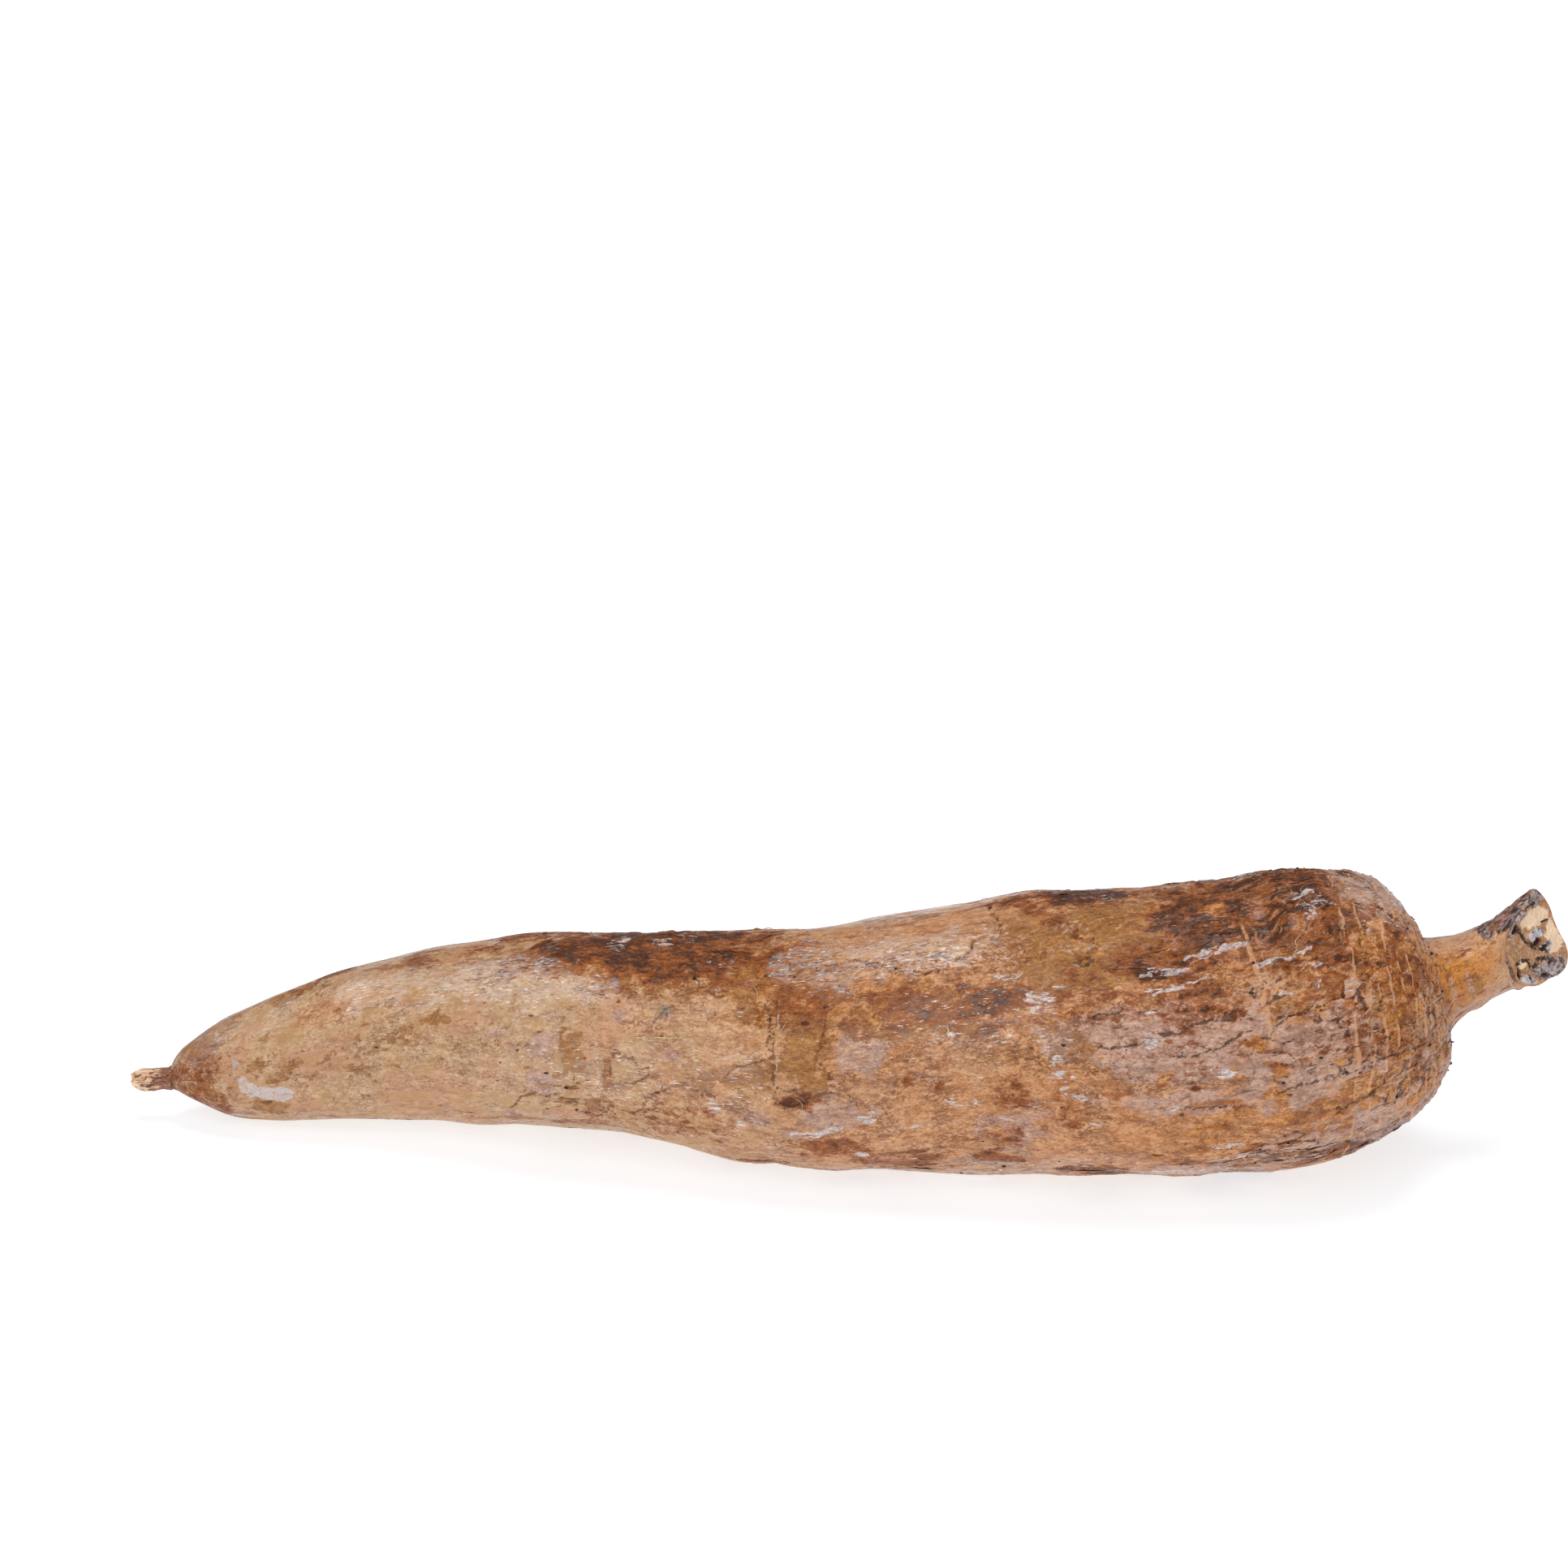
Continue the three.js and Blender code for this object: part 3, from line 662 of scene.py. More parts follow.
CRACKS = (
    *drawn(
        0.99,
        ((-34, 65), (-31, 54), (-27, 48), (-25, 50), (-26, 54)), ((-27, 76), (-24, 74), (-23, 60)),
        ((-78, -27), (-75, -18), (-72, -12), (-65, -11), (-63, -16), (-60, -19)),
        ((-61, -17), (-59, -27), (-55, -29), (-51, -17)), ((-51, -17), (-48, -23), (-44, -20), (-41, -7)),
        ((-66, -3), (-62, -8), (-58, -6)),
        ((-50, 16), (-44, 12), (-40, 6), (-45, -2), (-50, 1), (-51, 8), (-50, 14)), ((-32, -1), (-26, -3)),
        ((-11, 64), (-10, 70), (-7, 66), (-10, 61)),
        ((-5, 68), (-1, 64), (4, 67), (8, 60), (14, 57), (24, 54)),
        ((23, 64), (27, 58), (30, 62), (31, 70), (34, 73)), ((34, 73), (37, 72), (38, 82), (33, 107)),
        ((56, 72), (57, 66), (60, 66), (60, 60), (58, 58), (59, 54), (55, 56)),
        ((-2, 37), (-2, 28), (-4, 19), (0, 6), (5, -6)),
        ((-15, 48), (-14, 16), (-12, 3), (-6, 3), (-1, 3)),
        ((58, 19), (62, 20), (74, 25), (84, 30), (93, 29)), ((75, 15), (83, 16), (93, 24)),
        ((72, -6), (82, -7), (95, -8)), ((99, 27), (109, 29)), ((107, 24), (115, 22)),
        ((111, 11), (117, 13)), ((111, -15), (121, -12)),
    ),
    *drawn(
        0.95,
        ((-41, -7), (-37, -3), (-33, 3)), ((-24, 7), (-23, 14), (-16, 18)), ((53, 34), (58, 33), (64, 35)),
        ((98, -2), (104, 1), (110, 0), (120, 1)), ((76, -22), (82, -27), (92, -28), (104, -30)),
        ((-149, -8), (-147, -14), (-143, -19)),
    ),
)

# Lifted cork edges: raised, with a painted highlight along each.
LIFTED_EDGES = (
    *drawn(
        1.0,
        ((69, 49), (72, 48), (79, 50)), ((72, 40), (75, 43), (84, 45)), ((79, 54), (82, 56), (93, 57)),
        ((95, 48), (101, 49), (107, 51)), ((98, 38), (101, 35)), ((105, 39), (108, 38)),
        ((106, 75), (111, 75)), ((106, 70), (110, 68), (115, 68)), ((-10, -19), (-5, -18), (1, -15)),
    ),
    *drawn(
        0.9,
        ((80, 52), (85, 55), (91, 55)), ((103, 44), (106, 45), (110, 44)), ((108, 66), (111, 63)),
        ((84, -26), (93, -27)), ((85, -34), (91, -35), (100, -37)),
    ),
)


# ----------------------------------------
# The bark's relief and cover


@dataclass
class BarkFields:
    """What grows on the skin at every point of a grid: the relief's height in mm and the covers, 0 to 1."""

    height: Array
    covers: dict[str, Array]

    def part(self, around: int, start: int, end: int, every: int = 1) -> "BarkFields":
        """Cut out the rows from start to end, both kept, with one point in so many.

        Args:
            around: How many points a row has.
            start: The first row.
            end: The last row.
            every: How many points along a row give one.

        Returns:
            The fields of those points.
        """

        def cut(values: Array) -> Array:
            """Cut one field."""
            return values.reshape(-1, around)[start : end + 1, ::every].ravel()

        return BarkFields(cut(self.height), {name: cut(values) for name, values in self.covers.items()})


@dataclass
class BarkGrowth:
    """How the bark grows over a grid of the skin: the sizes and depths of its relief, in mm."""

    grid: SkinGrid
    seed: int = 7130
    streak_radius: float = 30.0
    wrinkle_depth: float = 0.10
    furrow_depth: float = 0.42
    flake_step: float = 0.30
    pebble: float = 0.08
    lump_rise: float = 0.22
    ring_rise: float = 0.24
    map_depth: float = 0.25
    map_rim: float = 0.06
    split_depth: float = 0.24
    crack_depth: float = 0.34
    lifted_rise: float = 0.32
    scar_depth: float = 0.40
    scar_lip: float = 0.22
    line_reach: float = 1.9
    scale_width: float = 3.4
    scale_length: Table = ((60, 100, 116, 145), (13.0, 9.0, 4.2, 3.4))
    scale_rise: float = 0.42
    neck_from: tuple[float, float] = (143.0, 147.0)
    collar_at: float = 142.9
    collar_rise: float = 0.55
    crust_rise: float = 0.6
    corner_rise: float = 1.6
    front: tuple[float, float] = (-48.0, 104.0)
    cap_front: float = 22.0
    cap_edge: Table = (
        (-180, -90, -57, -22, 3, 23, 38, 58, 110, 180),
        (-156, -155, -153, -157, -158, -156, -154, -152, -150, -156),
    )
    cap_covers: dict[str, Table] = field(default_factory=lambda: {
        "ochre": (
            (-180, -40, -32, -22, 0, 30, 50, 60, 120, 180),
            (0.5, 0.4, 0.8, 0.4, 0.5, 0.4, 0.35, 0.9, 0.9, 0.5),
        ),
        "mauve": ((-180, -80, -47, -35, -10, 8, 38, 50, 180), (0.3, 0.9, 0.9, 0.3, 0.4, 0.55, 0.6, 0.1, 0.3)),
        "umber": (
            (-180, -80, -50, -30, -5, 20, 45, 60, 180),
            (0.4, 0.4, 0.56, 0.42, 0.50, 0.46, 0.20, 0.12, 0.4),
        ),
    })
    scars: tuple[tuple[float, ...], ...] = (
        (-112, -4, 30, 0.7, 0), (-63.6, 13, 32, 0.5, 0), (-13.4, 24, 34, 1, 0),
        (-12.6, 60, 30, 0.5, 2), (95.5, 38, 26, 0.7, 7), (28, 190, 60, 0.7, 3),
        (-84, 205, 48, 0.6, -2), (102, 150, 60, 0.5, 4),
    )
    rough_along: Table = ((-178, -150, -60, 0, 60, 90, 140), (0.25, 0.10, 0.16, 0.34, 0.50, 0.80, 0.85))
    warm_along: Table = (
        (-178, -160, -80, -50, -20, 10, 60, 100, 140),
        (0.2, 0.12, 0.12, 0.32, 0.5, 0.72, 0.85, 0.8, 0.9),
    )
    gold_along: Table = ((30, 70, 100, 140, 154, 160), (0.0, 0.35, 0.5, 0.6, 0.55, 0.2))
    x: Array = field(init=False)
    angle: Array = field(init=False)
    radius: Array = field(init=False)
    spot: Array = field(init=False)
    streak: Array = field(init=False)
    warp: Array = field(init=False)
    fine_warp: Array = field(init=False)
    neck: Array = field(init=False)
    body: Array = field(init=False)
    sleek: Array = field(init=False)
    height: Array = field(init=False)
    covers: dict[str, Array] = field(init=False)

    def __post_init__(self) -> None:
        """Lay the skin out, and make the noise that bends and frays the edges of what grows on it."""
        self.x, self.angle, self.radius = self.grid.x, self.grid.angle, self.grid.radius
        self.spot = self.grid.straightened(self.radius)
        streak = self.grid.straightened(self.streak_radius)
        self.warp = self._noise(0, self.spot, 9.0, 3)
        self.fine_warp = self._noise(1, self.spot, 2.2, 3)
        drift = self._noise(2, streak, (38.0, 14.0))[:, None]
        self.streak = streak + drift * np.array([0.0, 3.2, 3.2])
        self.neck = smooth(self.x, *self.neck_from)
        self.body = 1 - self.neck
        self.height, self.covers = np.zeros(len(self.x)), {}

    def _noise(
        self, number: int, at: Array, size: float | tuple[float, float], layers: int = 2, gain: float = 0.5
    ) -> Array:
        """Give layered noise with a seed of its own, at a size along and across the root, in mm."""
        along, across = size if isinstance(size, tuple) else (size, size)
        return Grain(self.seed + number).layered(at / np.array([along, across, across]), layers, gain)

    def fields(self) -> BarkFields:
        """Grow the bark.

        Returns:
            Its relief and covers.
        """
        self._patches()
        self._scatter()
        self.sleek = 1 - 0.8 * self.covers["sleek"]
        self._grow(0.10 * self.covers["umber"] * self.body + 0.05 * self.covers["wax"], neck=self.neck)
        self._cork(self._furrows())
        steps = (self._rings, self._map_cracks, self._scales, self._lines, self._scar_lines, self._neck_end)
        for grow in steps:
            grow()
        return BarkFields(self.height, self.covers)

    def _grow(self, height: Array, **covers: Array) -> None:
        """Raise the bark by a height, and widen its covers to these.

        Args:
            height: How much higher it gets, in millimetres.
            covers: Each cover's least amount, 0 to 1.
        """
        self.height += height
        for name, cover in covers.items():
            self.covers[name] = np.maximum(self.covers.get(name, 0.0), cover)

    def _slim(self) -> Array:
        """Give how much of its full relief the body carries, less where the root is thin."""
        return self.body * np.clip(self.radius / 24.0, 0.25, 1.0)

    def _patches(self) -> None:
        """Lay the named patches out, each with a ragged edge, and say where map-like cracks run."""
        x, warp, fine_warp, covers = self.x, self.warp, self.fine_warp, self.covers
        for mark, patches in PATCHES.items():
            broad, fine, soft = PATCH_EDGES.get(mark, PLAIN_EDGE)
            cover = np.zeros(len(x))
            for patch in patches:
                away = patch.distance(x, self.angle, self.radius)
                near = away < 3.0
                reach = 1.0 - away[near] - broad * warp[near] - fine * fine_warp[near]
                cover[near] = np.maximum(cover[near], patch.amount * smooth(reach, -soft * 0.5, soft * 0.5))
            covers[mark.value] = cover
        cap_angle = turn(self.angle, self.cap_front)
        edge = np.interp(cap_angle, *self.cap_edge) + 1.6 * warp + 0.7 * fine_warp
        cap = smooth(x, edge + 0.8, edge - 0.8)
        for name, (angles, amounts) in self.cap_covers.items():
            covers[name] = np.maximum(covers[name], cap * np.interp(cap_angle, angles, amounts))
        rough = np.interp(x, *self.rough_along)
        covers["rough"] = np.clip(np.maximum(rough, covers["rough"]) * (1 - 0.75 * covers["sleek"]), 0, 1)
        for name, table in (("warm", self.warm_along), ("gold", self.gold_along)):
            covers[name] = np.clip(np.maximum(np.interp(x, *table), covers[name]) + 0.22 * warp, 0, 1)
        low = window(turn(self.angle, -16.0), -26.0, 26.0, 12.0) * window(x, -76.0, -30.0, 8.0)
        mid = window(x, -40.0, 62.0, 20.0) * window(turn(self.angle, 20.0), -50.0, 60.0, 20.0) * 0.82
        covers["mapped"] = np.maximum(low, mid) * smooth(warp, -0.30, 0.15)

    def _scatter(self) -> None:
        """Strew covers by chance, fully where no patches were laid and lightly between them."""
        x, spot, covers = self.x, self.spot, self.covers
        hidden = 1 - window(turn(self.angle, 0.0), *self.front, 22.0) * smooth(x, -172.0, -160.0)
        level = at_least(0.25, hidden)
        stretched = self.streak / np.array([30.0, 11.0, 11.0])
        chance = {
            "umber": (50, (-170, -60, 0, 60, 100, 145), (0.42, 0.30, 0.26, 0.10, -0.05, 0.05), 0.75),
            "ochre": (51, (-170, -100, 0, 145), (0.15, 0.28, 0.22, 0.12), 0.7),
            "mauve": (52, (-170, -100, 0, 60, 145), (0.35, 0.40, 0.25, 0.12, 0.05), 0.75),
            "rough": (53, (-170, -60, 60, 145), (0.50, 0.30, 0.05, -0.1), 0.8),
            # The chalk flecks strewn here are partly painted glints; the glints strewn here are painted
            # highlights.
            "chalk_and_glint": (54, (-170, -60, 0, 60, 145), (0.40, 0.25, 0.08, 0.05, 0.10), 0.7),
            "glint": (55, (-170, -60, 60, 145), (0.30, 0.20, 0.10, 0.05), 0.7),
        }
        for name, (number, places, leasts, amount) in chance.items():
            noise = Grain(self.seed + number).layered(stretched + number, 5, 0.6)
            found = smooth(noise - np.interp(x, places, leasts), -0.03, 0.14)
            share = level + (0.3 * (1 - hidden) if name == "chalk_and_glint" else 0.0)
            covers[name] = np.clip(np.maximum(covers[name], found * amount * share), 0, 1)
        small = self._noise(60, spot, (4.5, 2.2), 4, 0.6)
        covers["umber"] = np.clip(covers["umber"] + 0.45 * covers["rough"] * smooth(small, 0.14, 0.34), 0, 1)
        other = self._noise(61, spot, (6.0, 3.0), 4, 0.6)
        covers["ochre"] = np.clip(covers["ochre"] + 0.40 * smooth(other, 0.12, 0.36), 0, 1)
        covers["mauve"] = np.clip(covers["mauve"] + 0.30 * smooth(-other, 0.20, 0.42), 0, 1)

    def _furrows(self) -> Array:
        """Wrinkle and furrow the bark, and split it where it is rough.

        Returns:
            1 in a furrow, falling evenly beside it.
        """
        rough, sleek = self.covers["rough"], self.sleek
        wrinkled = self.spot / np.array([2.6, 1.25, 1.25]) + 0.6 * self.fine_warp[:, None]
        wrinkles = Grain(self.seed + 10).crease(wrinkled, 0.16, 3)
        furrow = Grain(self.seed + 11).tent(self.streak / np.array([17.0, 3.4, 3.4]), 0.26, 4)
        furrow *= smooth(self._noise(12, self.streak, (26.0, 7.0)), -0.25, 0.35)
        split = Grain(self.seed + 13).tent(self.streak / np.array([7.0, 1.6, 1.6]), 0.30, 3)
        split *= smooth(self._noise(14, self.spot, 6.0), 0.0, 0.4)
        depth = self.wrinkle_depth * wrinkles * sleek
        depth += self.furrow_depth * smooth(furrow, 0.45, 1.0) * at_least(0.08, rough) * sleek
        depth += self.split_depth * smooth(split, 0.5, 1.0) * rough
        line = np.maximum(furrow * (0.30 + 0.66 * rough) * sleek, split * rough * 0.9)
        height = -self._slim() * depth - 0.04 * self.neck * wrinkles
        self._grow(height, line=self.body * line, crease=wrinkles * sleek)
        return furrow

    def _cork(self, furrow: Array) -> None:
        """Layer the cork in steps, as sheets peeled away one from the other, and make it lumpy; mark the
        steps' ledges for a painted highlight and the low places for painted shade.

        Args:
            furrow: 1 in a furrow, falling evenly beside it.
        """
        levels = (self._noise(15, self.streak, (15.0, 4.6), 4, 0.55) + 1.0) * 2.6
        floor = np.floor(levels)
        part = levels - floor
        plates = np.clip((floor + smooth(part, 0.40, 0.56)) / 5.2, 0, 1)
        edges = smooth(part, 0.40, 0.48) * smooth(part, 0.60, 0.50)
        pebbles = self._noise(16, self.spot, 1.5, 3)
        lumps = self._noise(21, self.spot, (5.5, 3.5), 4, 0.6)
        rough = self.covers["rough"]
        height = self.flake_step * plates * at_least(0.10, rough)
        height += self.pebble * pebbles * at_least(0.35, rough)
        height += self.lump_rise * lumps * at_least(0.15, rough)
        height *= self._slim() * self.sleek
        height += self.covers["crust"] * (0.40 * pebbles + 0.35 * plates)
        # How high each point stands in its relief, 0 to 1; the finish paints shade where it is low.
        rise = 0.6 * pebbles + 0.5 * lumps + 0.6 * (plates - 0.5) - furrow
        rise = np.clip(0.5 + 0.45 * rise * (1 - 0.8 * self.neck), 0, 1)
        self._grow(height, ledge=edges * rough * self.body, rise=rise)

    def _rings(self) -> None:
        """Raise the thin rings that cross the furrows near the neck."""
        run = np.repeat(self.grid.run, self.grid.around)
        lined = self.grid.straightened(self.streak_radius)
        wobble = self._noise(17, lined, 9.0, 3)
        place = run / 3.3 + 0.42 * wobble
        ridge = smooth(np.abs(place - np.round(place)), 0.16, 0.03)
        broken = smooth(self._noise(18, lined, (3.3, 6.5)), -0.30, 0.15)
        rings = ridge * broken * smooth(self.x, 106.0, 119.0) * (1 - smooth(self.x, 139.5, 142.5))
        rough_edge = self._noise(20, lined, 2.6, 3)
        slant = self.x - 95.4 + turn(self.angle, 38.0) / 13.0 + 0.9 * wobble + 0.7 * rough_edge
        scar = np.maximum(smooth(np.abs(slant), 0.9, 0.3), 0.6 * smooth(np.abs(slant - 2.0), 0.7, 0.2))
        shown = facing(self.angle, 42.0, 32.0, 20.0) * smooth(rough_edge, -0.5, 0.0)
        rings = np.maximum(rings, scar * shown)
        self._grow(self._slim() * self.ring_rise * rings, ring=0.85 * rings)

    def _map_cracks(self) -> None:
        """Divide the skin into plates like those of a map, each with a low rim."""
        bend = (0.42 * self.warp + 0.12 * self.fine_warp)[:, None]
        first, second, _ = Grain(self.seed + 19).cells(self.spot / np.array([12.0, 8.0, 8.0]) + bend)
        gap = second - first
        crack = np.clip(1 - gap / 0.16, 0, 1)
        rim = smooth(gap, 0.15, 0.07) * smooth(gap, 0.03, 0.06)
        height = self.map_rim * rim - self.map_depth * smooth(crack, 0.55, 1.0)
        mapped = self.covers["mapped"]
        self._grow(self._slim() * mapped * height, line=self.body * mapped * crack)

    def _scales(self) -> None:
        """Divide the thick end's bark into long scales, calmer above and below, cut short by the rings."""
        length = np.interp(self.grid.station, *self.scale_length)
        along = np.concatenate([[0.0], np.cumsum(np.diff(self.grid.run) / length[1:])])
        bend = self._noise(22, self.streak, 7.0)
        bent = np.stack([
            np.repeat(along, self.grid.around) + 0.22 * bend + 0.10 * self.fine_warp,
            self.streak[:, 1] / self.scale_width + 0.25 * bend + 0.16 * self.fine_warp,
            self.streak[:, 2] / self.scale_width,
        ], axis=1)
        first, second, number = Grain(self.seed + 23).cells(bent)
        gap = second - first
        bulge = smooth(gap, 0.0, 0.5) * (0.45 + 0.9 * number)
        seams = np.clip(1 - gap / 0.42, 0, 1) * smooth(self._noise(25, self.spot, 4.0, 3), -0.45, 0.05)
        above, below = turn(self.angle, 86.0), turn(self.angle, -46.0)
        calm = np.maximum(window(above, -34.0, 30.0, 14.0), window(below, -34.0, 28.0, 14.0))
        scaly = self.body * (1 - 0.55 * calm * smooth(self.x, 106.0, 120.0))
        scaly *= smooth(self.x, 56.0, 100.0) * smooth(self._noise(24, self.spot, 13.0), -0.5, 0.1)
        banks = smooth(seams, 0.1, 0.35) * smooth(seams, 0.75, 0.5)
        self._grow(
            self._slim() * self.scale_rise * scaly * (bulge - 0.5 * seams**2),
            line=self.body * seams * scaly,
            ring=0.5 * banks * scaly,
            scale=0.5 + (number - 0.5) * scaly,
        )

    def _lines(self) -> None:
        """Draw the single cracks, and the lifted edges with a painted highlight along their lips."""
        x, radius = self.x, self.radius
        bent_x = x + 1.5 * self.fine_warp + 1.2 * self.warp
        bent_angle = self.angle + np.degrees((1.4 * self.fine_warp - 1.2 * self.warp) / radius)
        found = []
        for lines in (CRACKS, LIFTED_EDGES):
            total = np.zeros(len(x))
            for crack in lines:
                ends = np.array(crack.line)
                near = (x > ends[:, 0].min() - 3) & (x < ends[:, 0].max() + 3)
                near &= np.abs(turn(self.angle, ends[:, 1].mean())) < np.ptp(ends[:, 1]) / 2 + 12
                on_line = crack.nearness(bent_x[near], bent_angle[near], radius[near], self.line_reach)
                total[near] = np.maximum(total[near], on_line * crack.strength)
            found.append(total)
        cracks, lifted = found
        height = self.lifted_rise * smooth(lifted, 0.3, 0.9) - self.crack_depth * smooth(cracks, 0.6, 1.0)
        self._grow(self.body * height, line=self.body * cracks, lip=self.body * smooth(lifted, 0.45, 1.0))

    def _scar_lines(self) -> None:
        """Draw the thin crack and the pale lip that run in each ring scar."""
        crack, lip = np.zeros(len(self.x)), np.zeros(len(self.x))
        for at, middle, spread, amount, lean in self.scars:
            off = turn(self.angle, middle)
            away = self.x - at + lean * off / 90 + 0.9 * self.warp + 0.5 * self.fine_warp
            strength = amount * smooth(np.abs(off), spread, spread * 0.6)
            deep = smooth(strength, 0.0, 0.3) * (0.64 + 0.3 * strength)
            crack = np.maximum(crack, deep * np.clip(1 - np.abs(away) / 1.2, 0, 1))
            lip = np.maximum(lip, strength * smooth(np.abs(away - 0.75), 0.50, 0.10))
        height = self.scar_lip * lip - self.scar_depth * smooth(crack, 0.5, 1.0)
        self._grow(self.body * height, line=self.body * crack, lip=0.7 * self.body * lip)

    def _neck_end(self) -> None:
        """Grow the torn collar round the neck, with a painted highlight along its torn edge, the neck's own
        bark and the crust and corner at its end.
        """
        x, angle = self.x, self.angle
        collar = x - self.collar_at + 0.6 * self.warp + 0.5 * self.fine_warp
        torn = smooth(self._noise(26, self.spot, 5.0, 3), -0.5, 0.1)
        height = 0.16 * self.neck * self._noise(30, self.streak, (5.0, 4.0), 4)
        height += self.crust_rise * smooth(x, 161.0, 168.5) * facing(angle, 88.0, 34.0, 8.0)
        height += self.corner_rise * smooth(x, 165.5, 169.0) * facing(angle, 110.0, 20.0, 3.0)
        height += self.collar_rise * torn * smooth(collar, -3.2, -0.6) * smooth(collar, 0.3, -0.3)
        line = self.body * at_least(0.5, torn) * np.clip(1.06 - np.abs(collar) / 2.4, 0, 1)
        # A painted highlight along the collar's torn edge, weaker towards the front.
        collar_highlight = torn * (0.90 - 0.45 * facing(angle, 28.0, 50.0, 18.0))
        self._grow(height, line=line, lip=collar_highlight * smooth(np.abs(collar + 1.1), 0.9, 0.3))


# ----------------------------------------
# Shader maths


@dataclass(frozen=True)
class Tone:
    """A colour by its red, green and blue as they look on a screen, 0 to 255."""

    red: int
    green: int
    blue: int

    def linear(self) -> tuple[float, float, float, float]:
        """Give the colour as light, for a shader's socket.

        Returns:
            Its red, green and blue light, and 1.
        """
        shares = [c / 255.0 for c in (self.red, self.green, self.blue)]
        light = [c / 12.92 if c <= 0.04045 else ((c + 0.055) / 1.055) ** 2.4 for c in shares]
        return (*light, 1.0)


Tones = tuple[Tone, Tone]


@dataclass(frozen=True)
class Value:
    """A number that varies over a surface: a shader node's output, for use in Python expressions."""

    shader: "Shader"
    socket: bpy.types.NodeSocket

    def _maths(self, operation: str, *terms: "Value | float", clamp: bool = False) -> "Value":
        """Add a Math node that works on these terms."""
        settings = {"operation": operation, "use_clamp": clamp}
        return self.shader.node("ShaderNodeMath", settings, dict(enumerate(terms)))

    def __add__(self, other: "Value | float") -> "Value":
        """Add."""
        return self._maths("ADD", self, other)

    __radd__ = __add__

    def __sub__(self, other: "Value | float") -> "Value":
        """Take other away."""
        return self._maths("SUBTRACT", self, other)

    def __rsub__(self, other: "Value | float") -> "Value":
        """Take this away from other."""
        return self._maths("SUBTRACT", other, self)

    def __mul__(self, other: "Value | float") -> "Value":
        """Multiply."""
        return self._maths("MULTIPLY", self, other)

    __rmul__ = __mul__

    def clamped(self) -> "Value":
        """Keep the number between 0 and 1."""
        return self._maths("ADD", self, 0.0, clamp=True)

    def larger(self, other: "Value | float") -> "Value":
        """Give the larger of two numbers."""
        return self._maths("MAXIMUM", self, other)

    def graded(self, low: float, high: float) -> "Value":
        """Rise smoothly from 0 at low to 1 at high."""
        inputs = {"Value": self, "From Min": low, "From Max": high}
        return self.shader.node("ShaderNodeMapRange", {"interpolation_type": "SMOOTHSTEP"}, inputs)


class Shader:
    """One material's node tree, with a principled surface."""

    def __init__(self, name: str) -> None:
        """Start the material.

        Args:
            name: The material's name.
        """
        self.material = bpy.data.materials.new(name)
        self.material.use_nodes = True
        self.tree = self.material.node_tree
        self.surface = self.tree.nodes["Principled BSDF"]

    def node(self, kind: str, settings: dict, inputs: dict, output: str | int = 0) -> Value:
        """Add a node.

        Args:
            kind: The node's type.
            settings: Its properties, set first.
            inputs: Its sockets' values or links, by name or number.
            output: Which of its outputs to give back.

        Returns:
            The output.
        """
        made = self.tree.nodes.new(kind)
        for name, value in settings.items():
            setattr(made, name, value)
        for name, value in inputs.items():
            self.feed(made.inputs[name], value)
        return Value(self, made.outputs[output])

    def feed(self, socket: bpy.types.NodeSocket, value: object) -> None:
        """Link a socket to a value, or set it.

        Args:
            socket: The socket.
            value: A value of the shader, a tone, or whatever the socket takes.
        """
        if isinstance(value, Value):
            self.tree.links.new(value.socket, socket)
        elif isinstance(value, Tone):
            socket.default_value = value.linear()
        else:
            socket.default_value = value

    def cover(self, name: str) -> Value:
        """Read a number that the mesh carries."""
        return self.node("ShaderNodeAttribute", {"attribute_name": name}, {}, "Fac")

    def noise(
        self, name: str, along: float, across: float, detail: float, roughness: float, winding: float = 0.0
    ) -> Value:
        """Give noise from about 0.25 to 0.75.

        Args:
            name: The vector that the mesh carries to lay it out by, in mm.
            along: How long its grains are along the root, in mm.
            across: How wide they are.
            detail: How many finer layers it has.
            roughness: How strong the finer layers are.
            winding: How much it winds.

        Returns:
            The noise.
        """
        place = self.node("ShaderNodeAttribute", {"attribute_name": name}, {}, "Vector")
        size = (along, across, across)
        at = self.node("ShaderNodeVectorMath", {"operation": "DIVIDE"}, {0: place, 1: size})
        inputs = {"Vector": at, "Scale": 1.0, "Detail": detail, "Roughness": roughness, "Distortion": winding}
        return self.node("ShaderNodeTexNoise", {}, inputs, "Fac")

    def mix(self, share: Value | float, a: Value | Tone, b: Value | Tone, blend: str = "MIX") -> Value:
        """Go from colour a to colour b.

        Args:
            share: How far to go, 0 to 1.
            a: The colour at 0.
            b: The colour at 1.
            blend: How the colours are mixed.

        Returns:
            The colour.
        """
        settings = {"data_type": "RGBA", "blend_type": blend, "clamp_factor": True}
        return self.node("ShaderNodeMix", settings, {0: share, 6: a, 7: b}, 2)

    def toned(self, share: Value, tones: Tones) -> Value:
        """Go from a pair's first tone to its second."""
        return self.mix(share, *tones)

    def bump(self, height: Value, distance: float, strength: Value | float = 1.0) -> Value:
        """Tilt the surface's normal as if it had this height, in units of distance in metres."""
        inputs = {"Height": height, "Distance": distance, "Strength": strength}
        return self.node("ShaderNodeBump", {}, inputs, "Normal")

    def finish(self, **sockets: object) -> bpy.types.Material:
        """Feed the surface's sockets, named with _ for a space, and give the material.

        Args:
            sockets: What each socket gets.

        Returns:
            The material.
        """
        for name, value in sockets.items():
            self.feed(self.surface.inputs[name.replace("_", " ").title().replace("Ior", "IOR")], value)
        return self.material


# ----------------------------------------
# Finishes


